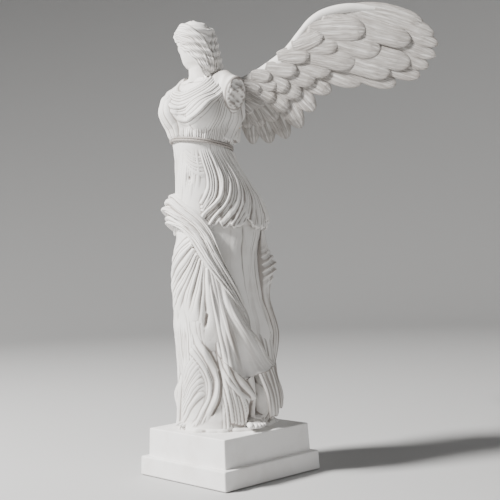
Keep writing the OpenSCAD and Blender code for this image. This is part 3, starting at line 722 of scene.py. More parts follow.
DRAPE = [[120, 160, 158, 160, 0], [120, 150, 168, 150, 5], [120, 141, 176, 141, 10],
         [121, 131, 182, 130, 12.5], [122, 120, 184, 118, 11], [124, 108, 182, 104, 6],
         [128, 92, 180, 88, 3], [130, 72, 176, 66, 3], [130, 52, 172, 44, 3], [128, 36, 168, 28, 0]]
CORNER = [[82, 96, 116, 98, -5], [84, 76, 121, 78, -1], [86, 56, 123, 58, 4], [88, 44, 123, 46, 7],
          [92, 26, 121, 34, 9.5], [95, 9, 118, 23, 11.5]]


def blown_drape(material):
    """The mantle's end blown behind the left leg, and the loose corner of the hem below it."""
    def relief(s, t):
        zig = np.abs(((t * 15 + 2.4 * s + 0.3 * np.sin(9 * s)) % 1) * 2 - 1)
        ruffle = (2.5 + 1.1 * np.sin(t * 23)) * (1 - zig ** 1.2) * np.exp(-((t - 0.33) / 0.15) ** 4)
        main = cross_ridges(s, t, np.linspace(.06, .94, 7), [.09] * 7, [3.6, 3, 3.8, 3.2, 4, 3, 3.6], .06, 5)
        return ruffle + main * (0.25 + 0.75 * np.clip((t - 0.45) / 0.2, 0, 1)) - 1

    def corner_relief(s, t):
        main = cross_ridges(s, t, [.05, .2, .38, .56, .76, .93], [.07, .08, .09, .09, .10, .07],
                            [2.4, 3.0, 2.4, 3.2, 2.6, 2.6], 0.06, 21)
        return (main * ease((t - 0.08) / 0.45) - 1) * (1 - 0.6 * t ** 4)

    def corner_sag(s, t):
        return t ** 4 * 1.6 * np.sin(s * 17)

    meshes = [band(DRAPE, relief, 180, 240), band(CORNER, corner_relief, 140, 110, corner_sag, 0.7)]
    return piece("blown_drape", joined(meshes), material, "back_drape")


# ---- Plinth ----
def softened_block(low, high, edge, taper=0.0):
    """A block with rounded edges; its sides lean in by taper at the top."""
    bm = bmesh.new()
    bmesh.ops.create_cube(bm, size=1)
    for v in bm.verts:
        lean_in = taper if v.co.z > 0 else 0.0
        v.co = [(a + b) / 2 + c * (b - a - (2 * lean_in if k < 2 else 0))
                for k, (a, b, c) in enumerate(zip(low, high, v.co))]
    for v in bm.verts:
        v.co *= MM
    bmesh.ops.bevel(bm, geom=bm.edges[:], offset=edge * MM, affect="EDGES", segments=5, profile=0.5,
                    material=-1)
    bmesh.ops.recalc_face_normals(bm, faces=bm.faces)
    mesh = bpy.data.meshes.new("block")
    bm.to_mesh(mesh)
    bm.free()
    return mesh


def plinth(material):
    """The two steps; the upper one reaches a little into the lower, so that no gap shows."""
    overlap = 1
    slab_low, slab_high = node_box("foot_slab")
    block_low, block_high = node_box("plinth_block")
    block_low[2] = slab_high[2] - overlap
    slab = softened_block(slab_low, slab_high, 1.3, 0.5)
    block = softened_block(block_low, block_high, 1.1, 0.9)
    for name, mesh, node in (("slab_casting", slab, "foot_slab"), ("block_casting", block, "plinth_block")):
        obj = piece(name, mesh, material, node)
        mod = obj.modifiers.new("weighted", "WEIGHTED_NORMAL")
        mod.keep_sharp = True


# ---- Materials ----
def shader(name):
    """A new material with its nodes, links and surface shader."""
    mat = bpy.data.materials.new(name)
    mat.use_nodes = True
    nodes, links = mat.node_tree.nodes, mat.node_tree.links
    return mat, nodes, links, nodes["Principled BSDF"]


def add_hollows(mesh):
    """Stores how deep each point lies in a crease; the stone's colour uses it to darken the creases, partly
    as patina and partly as painted shade.
    """
    passes, full_depth = 6, 0.22
    count = len(mesh.vertices)
    co = np.empty(count * 3)
    mesh.vertices.foreach_get("co", co)
    normal = np.empty(count * 3)
    mesh.vertex_normals.foreach_get("vector", normal)
    pair = np.empty(len(mesh.edges) * 2, int)
    mesh.edges.foreach_get("vertices", pair)
    co, normal, pair = co.reshape(-1, 3) / MM, normal.reshape(-1, 3), pair.reshape(-1, 2)
    smooth = co.copy()
    links_at = np.bincount(pair.ravel(), minlength=count)[:, None].clip(1)
    for _ in range(passes):
        total = np.zeros_like(smooth)
        for a, b in ((0, 1), (1, 0)):
            for axis in range(3):
                total[:, axis] += np.bincount(pair[:, a], smooth[pair[:, b], axis], count)
        smooth = 0.5 * smooth + 0.5 * total / links_at
    depth = ((smooth - co) * normal).sum(1)
    value = mesh.attributes.new("hollow", "FLOAT", "POINT")
    value.data.foreach_set("value", np.clip(depth / full_depth, -1, 1))


def noise(nodes, links, place, scale, detail=2.0):
    """A soft cloudy pattern, from 0 to 1."""
    node = nodes.new("ShaderNodeTexNoise")
    node.inputs["Scale"].default_value = scale
    node.inputs["Detail"].default_value = detail
    links.new(place, node.inputs["Vector"])
    return node.outputs["Fac"]


def ranged(nodes, links, value, low=0.0, high=1.0, to_low=0.0, to_high=1.0):
    """A value stretched from one range to another and held inside it."""
    node = nodes.new("ShaderNodeMapRange")
    node.inputs["From Min"].default_value = low
    node.inputs["From Max"].default_value = high
    node.inputs["To Min"].default_value = to_low
    node.inputs["To Max"].default_value = to_high
    links.new(value, node.inputs["Value"])
    return node.outputs["Result"]


def mixed(nodes, links, blend, **values):
    """A colour mix; each of Factor, A and B is a socket to link or a value."""
    node = nodes.new("ShaderNodeMix")
    node.data_type = "RGBA"
    node.blend_type = blend
    for name, value in values.items():
        if isinstance(value, bpy.types.NodeSocket):
            links.new(value, node.inputs[name])
        else:
            node.inputs[name].default_value = value
    return node.outputs["Result"]


def fine_relief(nodes, links, height, strength, distance, under=None):
    """Surface relief too small to model, on top of the relief under it."""
    node = nodes.new("ShaderNodeBump")
    node.inputs["Strength"].default_value = strength
    node.inputs["Distance"].default_value = distance
    links.new(height, node.inputs["Height"])
    if under:
        links.new(under, node.inputs["Normal"])
    return node.outputs["Normal"]


def attribute(nodes, name):
    """Reads a value that is stored on the mesh."""
    node = nodes.new("ShaderNodeAttribute")
    node.attribute_name = name
    return node


def cast_stone(name, tint, vane=False, crease_patina_and_shade=(0.30, 0.27, 0.25), crease_patina_and_shade_amount=0.9):
    """Fine, matt cast marble: white on the crests, and in the creases a warm grey that is partly patina and
    partly painted shade.
    """
    mat, nodes, links, bsdf = shader(name)
    bsdf.inputs["Roughness"].default_value = 0.62
    bsdf.inputs["Specular IOR Level"].default_value = 0.32
    place = nodes.new("ShaderNodeTexCoord").outputs["Object"]
    # Painted shade: the deeper a crease, the more the colour turns to a warm grey, partly patina and partly
    # painted shade.
    depth = ranged(nodes, links, attribute(nodes, "hollow").outputs["Fac"], 0.0, 0.34, 0.0, crease_patina_and_shade_amount)
    patina_and_shaded_colour = mixed(nodes, links, "MIX", Factor=depth, A=(*tint, 1), B=(*crease_patina_and_shade, 1))
    cloud = ranged(nodes, links, noise(nodes, links, place, 55, 5), 0.45, 0.75)
    mottled = mixed(nodes, links, "MULTIPLY", Factor=cloud, A=patina_and_shaded_colour, B=(0.90, 0.885, 0.87, 1))
    links.new(mottled, bsdf.inputs["Base Color"])
    speck = fine_relief(nodes, links, noise(nodes, links, place, 900, 4), 0.16, 0.0004)
    links.new(speck, bsdf.inputs["Normal"])
    if vane:
        barbs(nodes, links, speck, mottled, bsdf)
    return mat


def barbs(nodes, links, under, base, bsdf):
    """Fine lines that run along each feather, in the relief, with a little painted shade that darkens the
    colour in their grooves.
    """
    stretch = nodes.new("ShaderNodeMapping")
    stretch.inputs["Scale"].default_value = (0.09, 1.25, 1.0)
    links.new(attribute(nodes, "vane").outputs["Vector"], stretch.inputs["Vector"])
    lines = ranged(nodes, links, noise(nodes, links, stretch.outputs["Vector"], 1.0, 3), 0.36, 0.58)
    links.new(fine_relief(nodes, links, lines, 0.8, 0.00045, under), bsdf.inputs["Normal"])
    # Painted shade: the grooves between the barbs are a little darker in colour.
    shade = mixed(nodes, links, "MIX", Factor=lines, A=(0.72, 0.70, 0.68, 1), B=(1, 1, 1, 1))
    tone = mixed(nodes, links, "MULTIPLY", Factor=1.0, A=base, B=shade)
    links.new(tone, bsdf.inputs["Base Color"])


def plain_metal(name, tint, rough, scale):
    """Bare turned metal, a little uneven in its shine."""
    mat, nodes, links, bsdf = shader(name)
    bsdf.inputs["Metallic"].default_value = 1
    bsdf.inputs["Base Color"].default_value = (*tint, 1)
    place = nodes.new("ShaderNodeTexCoord").outputs["Object"]
    patches = noise(nodes, links, place, scale)
    links.new(ranged(nodes, links, patches, 0, 1, rough - 0.08, rough + 0.12), bsdf.inputs["Roughness"])
    return mat


def pad_felt():
    """Dense black felt with a short nap."""
    mat, nodes, links, bsdf = shader("pad_felt")
    bsdf.inputs["Roughness"].default_value = 0.95
    bsdf.inputs["Specular IOR Level"].default_value = 0.1
    place = nodes.new("ShaderNodeTexCoord").outputs["Object"]
    fibre = noise(nodes, links, place, 1400, 6)
    colour = mixed(nodes, links, "MIX", Factor=fibre, A=(0.010, 0.011, 0.012, 1), B=(0.045, 0.047, 0.050, 1))
    links.new(colour, bsdf.inputs["Base Color"])
    links.new(fine_relief(nodes, links, fibre, 0.5, 0.0003), bsdf.inputs["Normal"])
    return mat


# ---- Wings ----
SEAT = WING_MIDDLE + WING_DIR * (SEAT_AHEAD + SEAT_ROOM)


def in_wing(x, y, w):
    """From along the left wing, up it and out of its front face, to the figure's own space."""
    flat = SEAT + x[:, None] * WING_DIR + w[:, None] * WING_OUT
    return np.stack([flat[:, 0], flat[:, 1], WING_ROOT_Z + y], 1)


ARM_TOP = [[0, 25], [14, 31], [27, 38.5], [40, 48], [52, 61.5], [60, 70], [70, 76], [82, 79], [95, 79.5],
           [106, 77.5], [117, 73.5]]
ARM_DEPTH = [40, 37, 26, 15, 11.5, 10.5, 9.5, 8.5, 7.5, 5.5, 2]
ARM_THICK = [11.4, 11, 10.4, 9.6, 9, 8.4, 7.6, 6.6, 5.6, 4.2, 2]


def arm_roll():
    """The smooth leading edge, deep at the root and drawn out thin towards the tip."""
    line = np.array(ARM_TOP, float)

    def shape(turn, radius, height):
        x, top = spread(line[:, 0], height), spread(line[:, 1], height)
        depth, thick = spread(ARM_DEPTH, height), spread(ARM_THICK, height)
        a = np.radians(turn)
        square = 0.65 + 0.35 * np.clip(height * 4, 0, 1)
        across = np.sign(np.sin(a)) * np.abs(np.sin(a)) ** square
        y = top - depth / 2 + depth / 2 * np.cos(a) * radius
        w = thick / 2 * across * radius
        return in_wing(x + 0.12 * (top - y) * height, y, w + 0.15 * grain(x, y, w, 4, 5) * radius)

    return moulded(drum(48, 120), shape)


# Feathers: [quill x, y, bend x, y, tip x, y, width, layer] in millimetres along and up the wing
FLIGHT = [[4, 6, 9, 2, 11, -29, 14, 0], [10, 10, 18, 2, 25, -29, 15, 0],
          [17, 14, 27, 6, 39, -26, 15, 0], [24, 20, 36, 12, 51, -18, 15, 0],
          [31, 27, 45, 18, 62, -5, 15, 0], [38, 36, 54, 24, 76, 9, 14, 0],
          [46, 46, 68, 28, 101, 15, 14, 0], [56, 54, 84, 30, 128, 12, 13, 0],
          [64, 62, 96, 38, 147, 17, 12, 0], [72, 68, 100, 50, 154, 24, 11, 0],
          [80, 72, 104, 58, 160, 32, 10.5, 0], [88, 74, 112, 65, 162, 41, 10, 0],
          [94, 76, 120, 70, 159, 49, 10, 0], [98, 76, 122, 74, 151, 58, 10, 0]]
LONG = [[2, 6, 6, 2, 8, -16, 12, 0], [4, 8, 12, 4, 19, -15, 13, 0.3], [9, 12, 19, 8, 31, -11, 14, 0],
        [15, 17, 26, 12, 41, -3, 14, 0], [22, 24, 33, 19, 52, 8, 13, 0],
        [30, 30, 42, 27, 64, 18, 12, 0], [38, 38, 54, 34, 77, 25, 13, 0],
        [46, 46, 66, 40, 97, 31, 15, 0.9], [54, 54, 80, 34, 124, 21, 13, 0],
        [60, 58, 90, 44, 140, 27, 13, 0], [60, 62, 82, 50, 117, 39, 15, 0.9],
        [72, 70, 96, 60, 141, 45, 13, 0.4]]
SHORT = [[2, 6, 7, 2, 12, -4, 10, 0], [5, 12, 12, 8, 22, 2, 11, 0.2], [10, 16, 20, 14, 31, 5, 11, 0],
         [14, 22, 22, 20, 34, 16, 10, 0.6], [20, 26, 30, 22, 43, 13, 11, 0],
         [24, 33, 34, 30, 50, 28, 11, 0.4], [34, 40, 46, 42, 61, 39, 12, 0.3],
         [46, 48, 58, 50, 72, 56, 12, 0.6], [52, 48, 66, 47, 84, 46, 13, 0],
         [60, 60, 80, 60, 106, 56, 15, 0.2], [4, 20, 12, 19, 20, 13, 9, 1.2],
         [12, 27, 20, 26, 29, 23, 9, 1.4]]


def blade_blanks(count):
    """One mesh of count blank blades, and the number of points in each."""
    one = drum(28, 40, 2)
    blank = bpy.data.meshes.new("blade")
    one.to_mesh(blank)
    one.free()
    bm = bmesh.new()
    for _ in range(count):
        bm.from_mesh(blank)
    mesh = bpy.data.meshes.new("feathers")
    bm.to_mesh(mesh)
    bm.free()
    per = len(blank.vertices)
    bpy.data.meshes.remove(blank)
    return mesh, per


def blades(feathers, level, dome, side, pointed=0.0, lifted=0.0):
    """Overlapping feathers in one mesh, each a closed blade with a rounded tip."""
    mesh, per = blade_blanks(len(feathers))
    co = np.empty(len(mesh.vertices) * 3)
    mesh.vertices.foreach_get("co", co)
    co = co.reshape(-1, 3)
    f = np.repeat(np.array(feathers, float), per, 0)
    quill, bend, tip, width, layer = f[:, 0:2], f[:, 2:4], f[:, 4:6], f[:, 6], f[:, 7]
    turn = np.arctan2(co[:, 0], -co[:, 1])
    radius, t = np.hypot(co[:, 0], co[:, 1]), 1 - (1 - co[:, 2] * 0.9996) ** 1.35
    length = np.linalg.norm(tip - quill, axis=1)
    half = blade_half_width(t, width, length, pointed)
    across, face = -np.cos(turn) * radius, np.sin(turn)
    body = np.abs(face) ** 0.9 * radius
    fade = np.sqrt(np.clip((1 - t) / 0.12, 0, 1))
    rise = level + layer + 0.9 * t - 0.55 * across * np.clip(half / 5, 0, 1)
    rise += lifted * np.exp(-quill[:, 0] / 14) * (1 - 0.6 * t)
    rib = 0.16 * np.exp(-(across / 0.07) ** 2) * (1 - t) ** 0.5
    vane = 0.05 * np.sin(across * 17 + 3 * t + tip[:, 0]) * body
    front = rise + dome * body * fade + rib + vane
    w = np.where(face > 0, front, rise - 0.7 * dome * body * fade)
    place = blade_middle(t[:, None], quill, bend, tip, (across * half)[:, None])
    place[:, 0] = np.maximum(place[:, 0], 0.1)  # the root is cut flat where it is seated
    placed = in_wing(place[:, 0], place[:, 1], side * w)
    mesh.vertices.foreach_set("co", (placed * MM).ravel())
    barb_place = mesh.attributes.new("vane", "FLOAT_VECTOR", "POINT")
    barb_place.data.foreach_set("vector", np.stack([t * length, across * half, tip[:, 0] * 3.7], 1).ravel())
    return turned_inside_out(mesh) if side < 0 else mesh


def blade_half_width(t, width, length, pointed):
    """Narrow at the quill, full from the middle on, and rounded off over the last stretch."""
    round_from = 1 - (0.80 + pointed) * width / length
    u = np.clip((t - round_from) / (1 - round_from), 0, 1)
    return 0.64 * width * (0.55 + 0.45 * np.clip(t / 0.45, 0, 1) ** 0.8) * np.sqrt(1 - u ** 2)


def blade_middle(t, quill, bend, tip, aside):
    """Points along a feather's curved middle line, moved aside across it."""
    middle = (1 - t) ** 2 * quill + 2 * t * (1 - t) * bend + t ** 2 * tip
    along = 2 * (1 - t) * (bend - quill) + 2 * t * (tip - bend)
    along /= np.linalg.norm(along, axis=1)[:, None]
    return middle + np.stack([-along[:, 1], along[:, 0]], 1) * aside


def turned_inside_out(mesh):
    """The same mesh with its faces turned round, for a blank that was moulded mirrored."""
    bm = bmesh.new()
    bm.from_mesh(mesh)
    bmesh.ops.reverse_faces(bm, faces=bm.faces)
    bm.to_mesh(mesh)
    bm.free()
    return mesh


def wings(stone, vaned):
    """Both wings: the left one is moulded, the right one is its mirrored copy."""
    made = []
    parts = {"wing_arm": (arm_roll(), stone, "wing_arm"),
             "flight_blades": (blades(FLIGHT, -0.5, 1.5, 1, 0.5), vaned, "flight_feathers"),
             "long_blades": (joined([blades(LONG, 1.3, 1.7, side, 0, 2.6) for side in (1, -1)]), vaned,
                             "long_coverts"),
             "short_blades": (joined([blades(SHORT, 2.8, 1.7, side, 0, 2.4) for side in (1, -1)]), vaned,
                              "short_coverts")}
    for kind, (mesh, material, node) in parts.items():
        made.append(piece("right_" + kind, other_side(mesh), material, "right_" + node, "right_wing"))
        made.append(piece("left_" + kind, mesh, material, "left_" + node, "left_wing"))
    return made


# ---- Head, neck and hair, in the head's own turn: 0 is the middle of the face ----
FACE_TURN = -94.0
HEAD_AT = np.array([-4.0, -13.5])
CHIN_UP = NECK_UP + 7.0
HEAD_TALL = 37.0
HEAD_FORM = [[-.34, -1.0, 11.5, 11], [-.15, -1.4, 9.2, 9.2], [-.02, -1.0, 8.8, 10], [.05, .6, 9.4, 11.8],
             [.12, 1.0, 10.7, 13.4], [.25, .4, 12.0, 14.6], [.40, -.2, 12.9, 15.4], [.55, -.6, 13.3, 15.9],
             [.72, -.9, 13.2, 16.1], [.86, -1.2, 11.3, 13.9], [.95, -1.2, 7.6, 9.4], [1, -1.2, 2.2, 2.8]]
HAIR_FORM = [[-.24, -12.5, 7, 5], [-.12, -12, 10.5, 7.5], [.02, -10.6, 12.6, 10.5], [.20, -7.6, 14, 13.2],
             [.42, -4.4, 15.0, 15.6], [.60, -2.8, 15.4, 16.6], [.80, -1.6, 14.4, 16.9],
             [.92, -1.4, 11.0, 13.0], [1.0, -1.2, 6.6, 8.0], [1.05, -1.2, 1.8, 2.2]]


def head_point(form, turn, v, off):
    """A point of the head: each row of form has height share, middle forward, half width, half depth."""
    def at(angle, share):
        s = section(form, share)
        a = np.radians(angle)
        side, fore = s[:, 1] * np.sin(a), s[:, 0] + s[:, 2] * np.cos(a)
        b = math.radians(FACE_TURN)
        tilt = 5.0 * np.clip(share, 0, 1.05)
        return np.stack([HEAD_AT[0] - 0.67 * tilt + side * math.cos(b) + fore * math.sin(b),
                         HEAD_AT[1] - 0.74 * tilt + side * math.sin(b) - fore * math.cos(b),
                         PLINTH_TOP + CHIN_UP + share * HEAD_TALL], 1)
    here = at(turn, v)
    out = np.cross(at(turn + 1, v) - at(turn - 1, v), at(turn, v + 0.01) - at(turn, v - 0.01))
    length = np.linalg.norm(out, axis=1)
    out[length < 1e-6] = (0, 0, 1)
    length[length < 1e-6] = 1
    return here + out / length[:, None] * off[:, None]


def drawn_in(form, points, v, radius):
    """Cap points are drawn in towards the middle of the head."""
    left, right = head_point(form, -90 + 0 * v, v, 0 * v), head_point(form, 90 + 0 * v, v, 0 * v)
    middle = (left + right) / 2
    middle[:, 2] = points[:, 2]
    return middle + (points - middle) * radius[:, None]


def face_relief(side, v):
    """A calm, plain face: side is millimetres from the middle line, v the share of the head's height."""
    z = v * HEAD_TALL

    def swell(x0, v0, wide, tall, height, power=1.5):
        d = ((np.abs(side) - x0) / wide) ** 2 + ((z - v0 * HEAD_TALL) / tall) ** 2
        return height * np.clip(1 - d, 0, 1) ** power

    down = np.clip((.60 - v) / .22, 0, 1)
    nose_wide = 1.2 + 1.3 * down
    nose = (0.9 + 3.3 * down) * np.clip(1 - (side / nose_wide) ** 2, 0, 1) ** 0.8
    nose *= np.clip((v - .352) / .018, 0, 1) * np.clip((.635 - v) / .05, 0, 1)
    out = nose + swell(2.0, .385, 1.5, 1.3, 1.3) + swell(4.6, .622, 5.0, 1.7, 1.1) + swell(0, .66, 9, 6, .6)
    out += -swell(4.5, .555, 4.0, 2.6, 1.9) + swell(4.4, .553, 2.7, 1.6, 1.3)
    out += swell(4.4, .582, 3.2, .5, .5, 1) + swell(4.4, .525, 2.8, .4, .3, 1)
    out += swell(7.6, .45, 4.6, 4.2, 1.0) + swell(0, .245, 4.6, 3.4, .7) + swell(0, .268, 3.8, .95, 1.0)
    out += swell(0, .222, 3.1, 1.1, 1.2) - swell(0, .246, 4.0, .35, .9) - swell(0, .178, 3.2, 1.3, .9)
    out += swell(0, .095, 4.2, 3.0, 1.8) - swell(0, .31, .7, 1.6, .4)
    return out


def head_carving(stone):
    """The head with its face and the neck."""
    def shape(turn, radius, height):
        v = -.34 + 1.34 * height
        side = section(HEAD_FORM, v)[:, 1] * np.sin(np.radians(turn))
        front = np.clip((np.cos(np.radians(turn)) - 0.15) / 0.3, 0, 1)
        off = face_relief(side, v) * front
        off += 0.9 * np.exp(-((np.abs(turn) - 62 + 110 * v) / 14) ** 2) * np.clip(-v / .1, 0, 1)
        p = head_point(HEAD_FORM, turn, v, off)
        return drawn_in(HEAD_FORM, p, v, radius)

    return piece("head_carving", moulded(drum(256, 190), shape), stone, "head")


def hair_strands():
    """Wavy locks drawn back from the parting to the nape, on both sides."""
    guides = [[(2, .80), (24, .93), (70, .99), (120, .88), (160, .58), (174, .20), (178, -.2)],
              [(12, .79), (44, .84), (88, .82), (128, .66), (154, .38), (162, .05), (166, -.2)],
              [(30, .75), (58, .70), (92, .64), (124, .47), (144, .22), (150, -.05), (152, -.22)],
              [(48, .63), (70, .55), (96, .47), (118, .32), (134, .10), (140, -.12)],
              [(62, .50), (78, .42), (97, .33), (112, .18), (124, .0), (128, -.14)]]
    rescale = .26 / ROUND
    strokes = []
    for sign in (1, -1):
        lines = [[(sign * a * rescale, v * HEAD_TALL) for a, v in g] for g in guides]
        strokes += fan(lines, [4, 4, 4, 3], 0.85, 0.02, 0.02)
    for s in strokes:
        t = np.linspace(0, 1, len(s["line"]))
        s["line"] = s["line"] + 0.45 * np.stack([np.sin(t * 30 + rng.uniform(0, 2)), np.cos(t * 26)], 1)
    return strokes


def hair_carving(stone):
    """The hair, which sinks into the head in front of the hairline."""
    strokes = hair_strands()

    def shape(turn, radius, height):
        v = -.24 + 1.29 * height
        hairline = np.interp(np.abs(turn), [0, 20, 40, 55, 68, 80, 92, 108, 124, 140],
                             [.795, .785, .72, .60, .46, .34, .22, .02, -.3, -.5])
        inside = ease((v - hairline) * HEAD_TALL / 1.1 + 0.5)
        locks = folds(turn * .26 / ROUND, v * HEAD_TALL, strokes)
        wave = 0.55 * np.sin(v * 38 + np.abs(turn) / 16) * np.clip((np.abs(turn) - 80) / 40, 0, 1)
        roll = 1.3 * np.exp(-((v - hairline - .06) / .06) ** 2)
        off = (locks + wave + roll) * inside - 5.5 * (1 - inside) - 0.3
        p = head_point(HAIR_FORM, turn, v, off)
        return drawn_in(HAIR_FORM, p, v, radius)

    return piece("hair_carving", moulded(drum(256, 190), shape), stone, "hair")


# ---- Broken arms, feet and the ground ----
def stump(side):
    """What is left of an upper arm: an oval, with a rough broken end."""
    heading = np.array([.95 * side, -.15, -.28])
    heading /= np.linalg.norm(heading)
    deep = np.cross([0, 0, 1], heading)
    deep /= np.linalg.norm(deep)
    tall = np.cross(heading, deep)
    root = np.array([BODY_X + side * 17, -8.0, PLINTH_TOP + NECK_UP - 12.5])

    def shape(turn, radius, height):
        a = np.radians(turn)
        swell = spread([1.12, 1.12, 1.08, 1.02, .99, .97, .95], height)
        rim = 1 - 0.10 * np.clip((height - .93) / .07, 0, 1) ** 2
        r = radius * swell * rim
        flat = np.stack([10.4 * r * np.sin(a), 14.2 * r * np.cos(a)], 1)
        broken = (height > .999) * (1 - radius ** 8)
        x, y, level = flat[:, 0], flat[:, 1], 0 * r
        rough = 1.5 * grain(x, y, level, 3.4, 11) + .9 * grain(y, x, level, 1.5, 2)
        rough += .6 * np.abs(grain(x, y, level, 1.1, 31))
        reach = height * 24 + broken * (rough * 1.3 + 1.0)
        flat *= 1 + (0.035 * grain(height * 30, flat[:, 0], flat[:, 1], 4.0, 8))[:, None]
        return root + reach[:, None] * heading + flat[:, :1] * deep + flat[:, 1:] * tall

    return moulded(drum(120, 50, 30), shape)


def foot(at, heading, size):
    """A bare foot: a low instep with five toes."""
    c, s = math.cos(math.radians(heading)), math.sin(math.radians(heading))

    def placed(x, y, z):
        return np.stack([at[0] + x * c - y * s, at[1] + x * s + y * c, PLINTH_TOP + z], 1)

    def instep(turn, radius, height):
        a = np.radians(turn)
        wide = spread([3.2, 4.6, 5.2, 5.4, 5.4, 5.0, 4.2], height) * size
        high = spread([5.0, 6.8, 6.2, 4.8, 3.4, 2.4, 1.8], height) * size
        x = height * 24 * size
        return placed(x, wide * np.sin(a) * radius, 3.0 + high * (0.5 - 0.5 * np.cos(a) * radius) * 1.35 - 1)

    def toe(k):
        wide = [2.2, 1.6, 1.5, 1.4, 1.3][k] * size
        start, long = [20.5, 21.4, 20.6, 19.2, 17.4][k] * size, [9.0, 7.0, 6.2, 5.4, 4.6][k] * size
        aside = [-3.7, -.2, 2.1, 4.1, 5.8][k] * size

        def shape(turn, radius, height):
            a = np.radians(turn)
            r = spread([.95, .95, .90, .92, .95, .84, .42], height) * wide * radius
            knuckle = .6 * np.sin(np.clip(height, 0, 1) * math.pi)
            return placed(start - 2 + height * (long + 1), aside + r * np.sin(a),
                          3.0 + wide * .6 + knuckle - r * np.cos(a) * .8)
        return moulded(drum(24, 24, 2), shape)

    return joined([moulded(drum(48, 40), instep)] + [toe(k) for k in range(5)])


def ground(stone):
    """Rough ground under the hem."""
    low, high = node_box("ground_sole")
    middle, half = (low + high) / 2, (high - low) / 2

    def shape(turn, radius, height):
        a = np.radians(turn)
        x, y = np.sin(a), -np.cos(a)
        ragged = 1 + 0.022 * np.sin(5 * a + 1) + 0.016 * np.sin(11 * a) + 0.010 * np.sin(23 * a + 2)
        spill = 1 - 0.05 * np.clip(height - .2, 0, 1) ** 2
        px = middle[0] + half[0] * x * radius * ragged * spill
        py = middle[1] + half[1] * y * radius * ragged * spill
        lift = height * (high[2] - low[2]) + (height > .1) * .45 * grain(px, py, 0 * px, 2.6, 6)
        return np.stack([px, py, low[2] - 0.3 + np.maximum(lift, 0)], 1)

    return piece("ground_rock", moulded(drum(220, 10, 60), shape), stone, "ground_sole")


def head_and_limbs(stone):
    """Everything carved that isn't cloth or wing."""
    return [head_carving(stone), hair_carving(stone), piece("left_stump", stump(1), stone, "left_arm_stump"),
            piece("right_stump", stump(-1), stone, "right_arm_stump"),
            piece("left_toes", foot((17.0, 11.5), -38, 1.25), stone, "left_foot"),
            piece("right_toes", foot((-13.0, -12.5), -94, 1.0), stone, "right_foot"), ground(stone)]


def build_figure(stone):
    """All cast stone pieces above the plinth."""
    # The feathers' creases are darkened less than the cloth's, with the same warm grey that is partly patina
    # and partly painted shade.
    vaned = cast_stone("feather_marble", (0.80, 0.785, 0.765), vane=True, crease_patina_and_shade_amount=0.6)
    made = wings(stone, vaned) + head_and_limbs(stone)
    made += [skirt_cloth(stone), tunic_cloth(stone), bodice_cloth(stone), girdle(stone)]
    return made + [mantle_roll(stone), mantle_flap(stone), blown_drape(stone)]


def finish_frame_nodes():
    """Gives every CAD part that stays in sight its own finish."""
    finish = {"felt_pad": "felt", "rod_insert": "brass",
              "left_peg_sockets": "brass", "right_peg_sockets": "brass"}
    for name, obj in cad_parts.items():
        if obj.type != "MESH":
            continue
        steel = any(word in name for word in ("rod", "pin", "peg", "dowel"))
        kind = finish.get(name, "zinc_steel" if steel else "cast_marble")
        for slot in obj.material_slots:
            slot.material = finishes[kind]


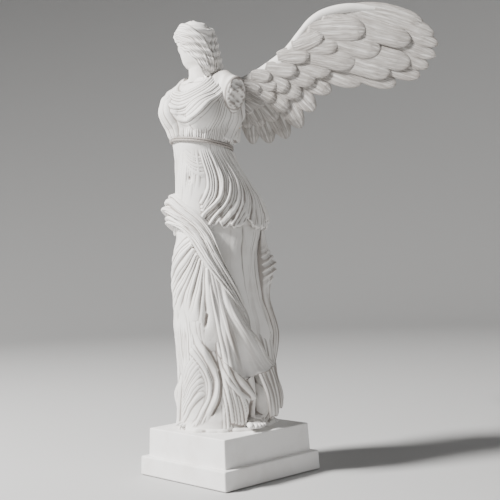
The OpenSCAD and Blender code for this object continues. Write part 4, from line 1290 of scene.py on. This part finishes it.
# ---- The room: pale floor, soft daylight ----
def room():
    """A wide pale floor that rises gently all round, like a studio sweep."""
    bm = bmesh.new()
    bmesh.ops.create_grid(bm, x_segments=64, y_segments=64, size=3.4)
    for v in bm.verts:
        v.co.z = 0.55 * max(0.0, v.co.xy.length - 1.5) ** 2
    bmesh.ops.recalc_face_normals(bm, faces=bm.faces)
    mesh = bpy.data.meshes.new("floor")
    bm.to_mesh(mesh)
    bm.free()
    mesh.polygons.foreach_set("use_smooth", [True] * len(mesh.polygons))
    floor = bpy.data.objects.new("floor", mesh)
    bpy.context.scene.collection.objects.link(floor)
    mat, _, _, bsdf = shader("pale_floor")
    bsdf.inputs["Roughness"].default_value = 0.9
    bsdf.inputs["Base Color"].default_value = (0.50, 0.50, 0.50, 1)
    mesh.materials.append(mat)
    world = bpy.data.worlds.new("studio")
    world.use_nodes = True
    sky = world.node_tree.nodes["Background"]
    sky.inputs["Color"].default_value = (0.93, 0.96, 1.0, 1)
    sky.inputs["Strength"].default_value = 0.06
    bpy.context.scene.world = world


def soft_light(name, place, aim, size, watts, tint):
    """A round soft light at place, turned to aim."""
    data = bpy.data.lights.new(name, "AREA")
    data.shape = "DISK"
    data.size = size
    data.energy = watts
    data.color = tint
    light = bpy.data.objects.new(name, data)
    light.location = place
    light.rotation_euler = (Vector(place) - Vector(aim)).to_track_quat("Z", "Y").to_euler()
    bpy.context.scene.collection.objects.link(light)


def camera():
    """A long lens at the height of the figure's middle, in front and to its left."""
    place, level_up = Vector((0.61559, -0.55117, 0.18132)), Vector((0.02729, 0.02678, 0.99927))
    data = bpy.data.cameras.new("view")
    data.lens = 72
    data.sensor_width = 36
    cam = bpy.data.objects.new("view", data)
    back = Vector((0.72597, -0.68772, -0.00140)).normalized()
    right = level_up.cross(back).normalized()
    turn = Matrix((right, back.cross(right), back)).transposed()
    cam.matrix_world = Matrix.Translation(place) @ turn.to_4x4()
    bpy.context.scene.collection.objects.link(cam)
    bpy.context.scene.camera = cam


marble = cast_stone("cast_marble", (0.80, 0.785, 0.765))
plinth_marble = cast_stone("plinth_marble", (0.84, 0.83, 0.82), crease_patina_and_shade_amount=0.0)
finishes = {"brass": plain_metal("turned_brass", (0.78, 0.58, 0.26), 0.28, 300),
            "zinc_steel": plain_metal("zinc_steel", (0.62, 0.64, 0.66), 0.34, 400),
            "felt": pad_felt(), "cast_marble": marble}

plinth(plinth_marble)
stone_pieces = build_figure(marble)
# Crease depth on every figure piece, which the stone's colour turns into patina and painted shade.
for made in stone_pieces:
    add_hollows(made.data)
finish_frame_nodes()
room()
soft_light("key", (-0.55, -1.15, 1.25), (0, 0, 0.2), 0.35, 100, (1.0, 0.985, 0.96))
soft_light("fill", (1.5, -0.1, 0.5), (0, 0, 0.2), 1.2, 1.2, (0.92, 0.96, 1.0))
soft_light("rim", (0.4, 1.2, 0.9), (0, 0, 0.25), 0.8, 3.5, (1.0, 0.98, 0.95))
camera()
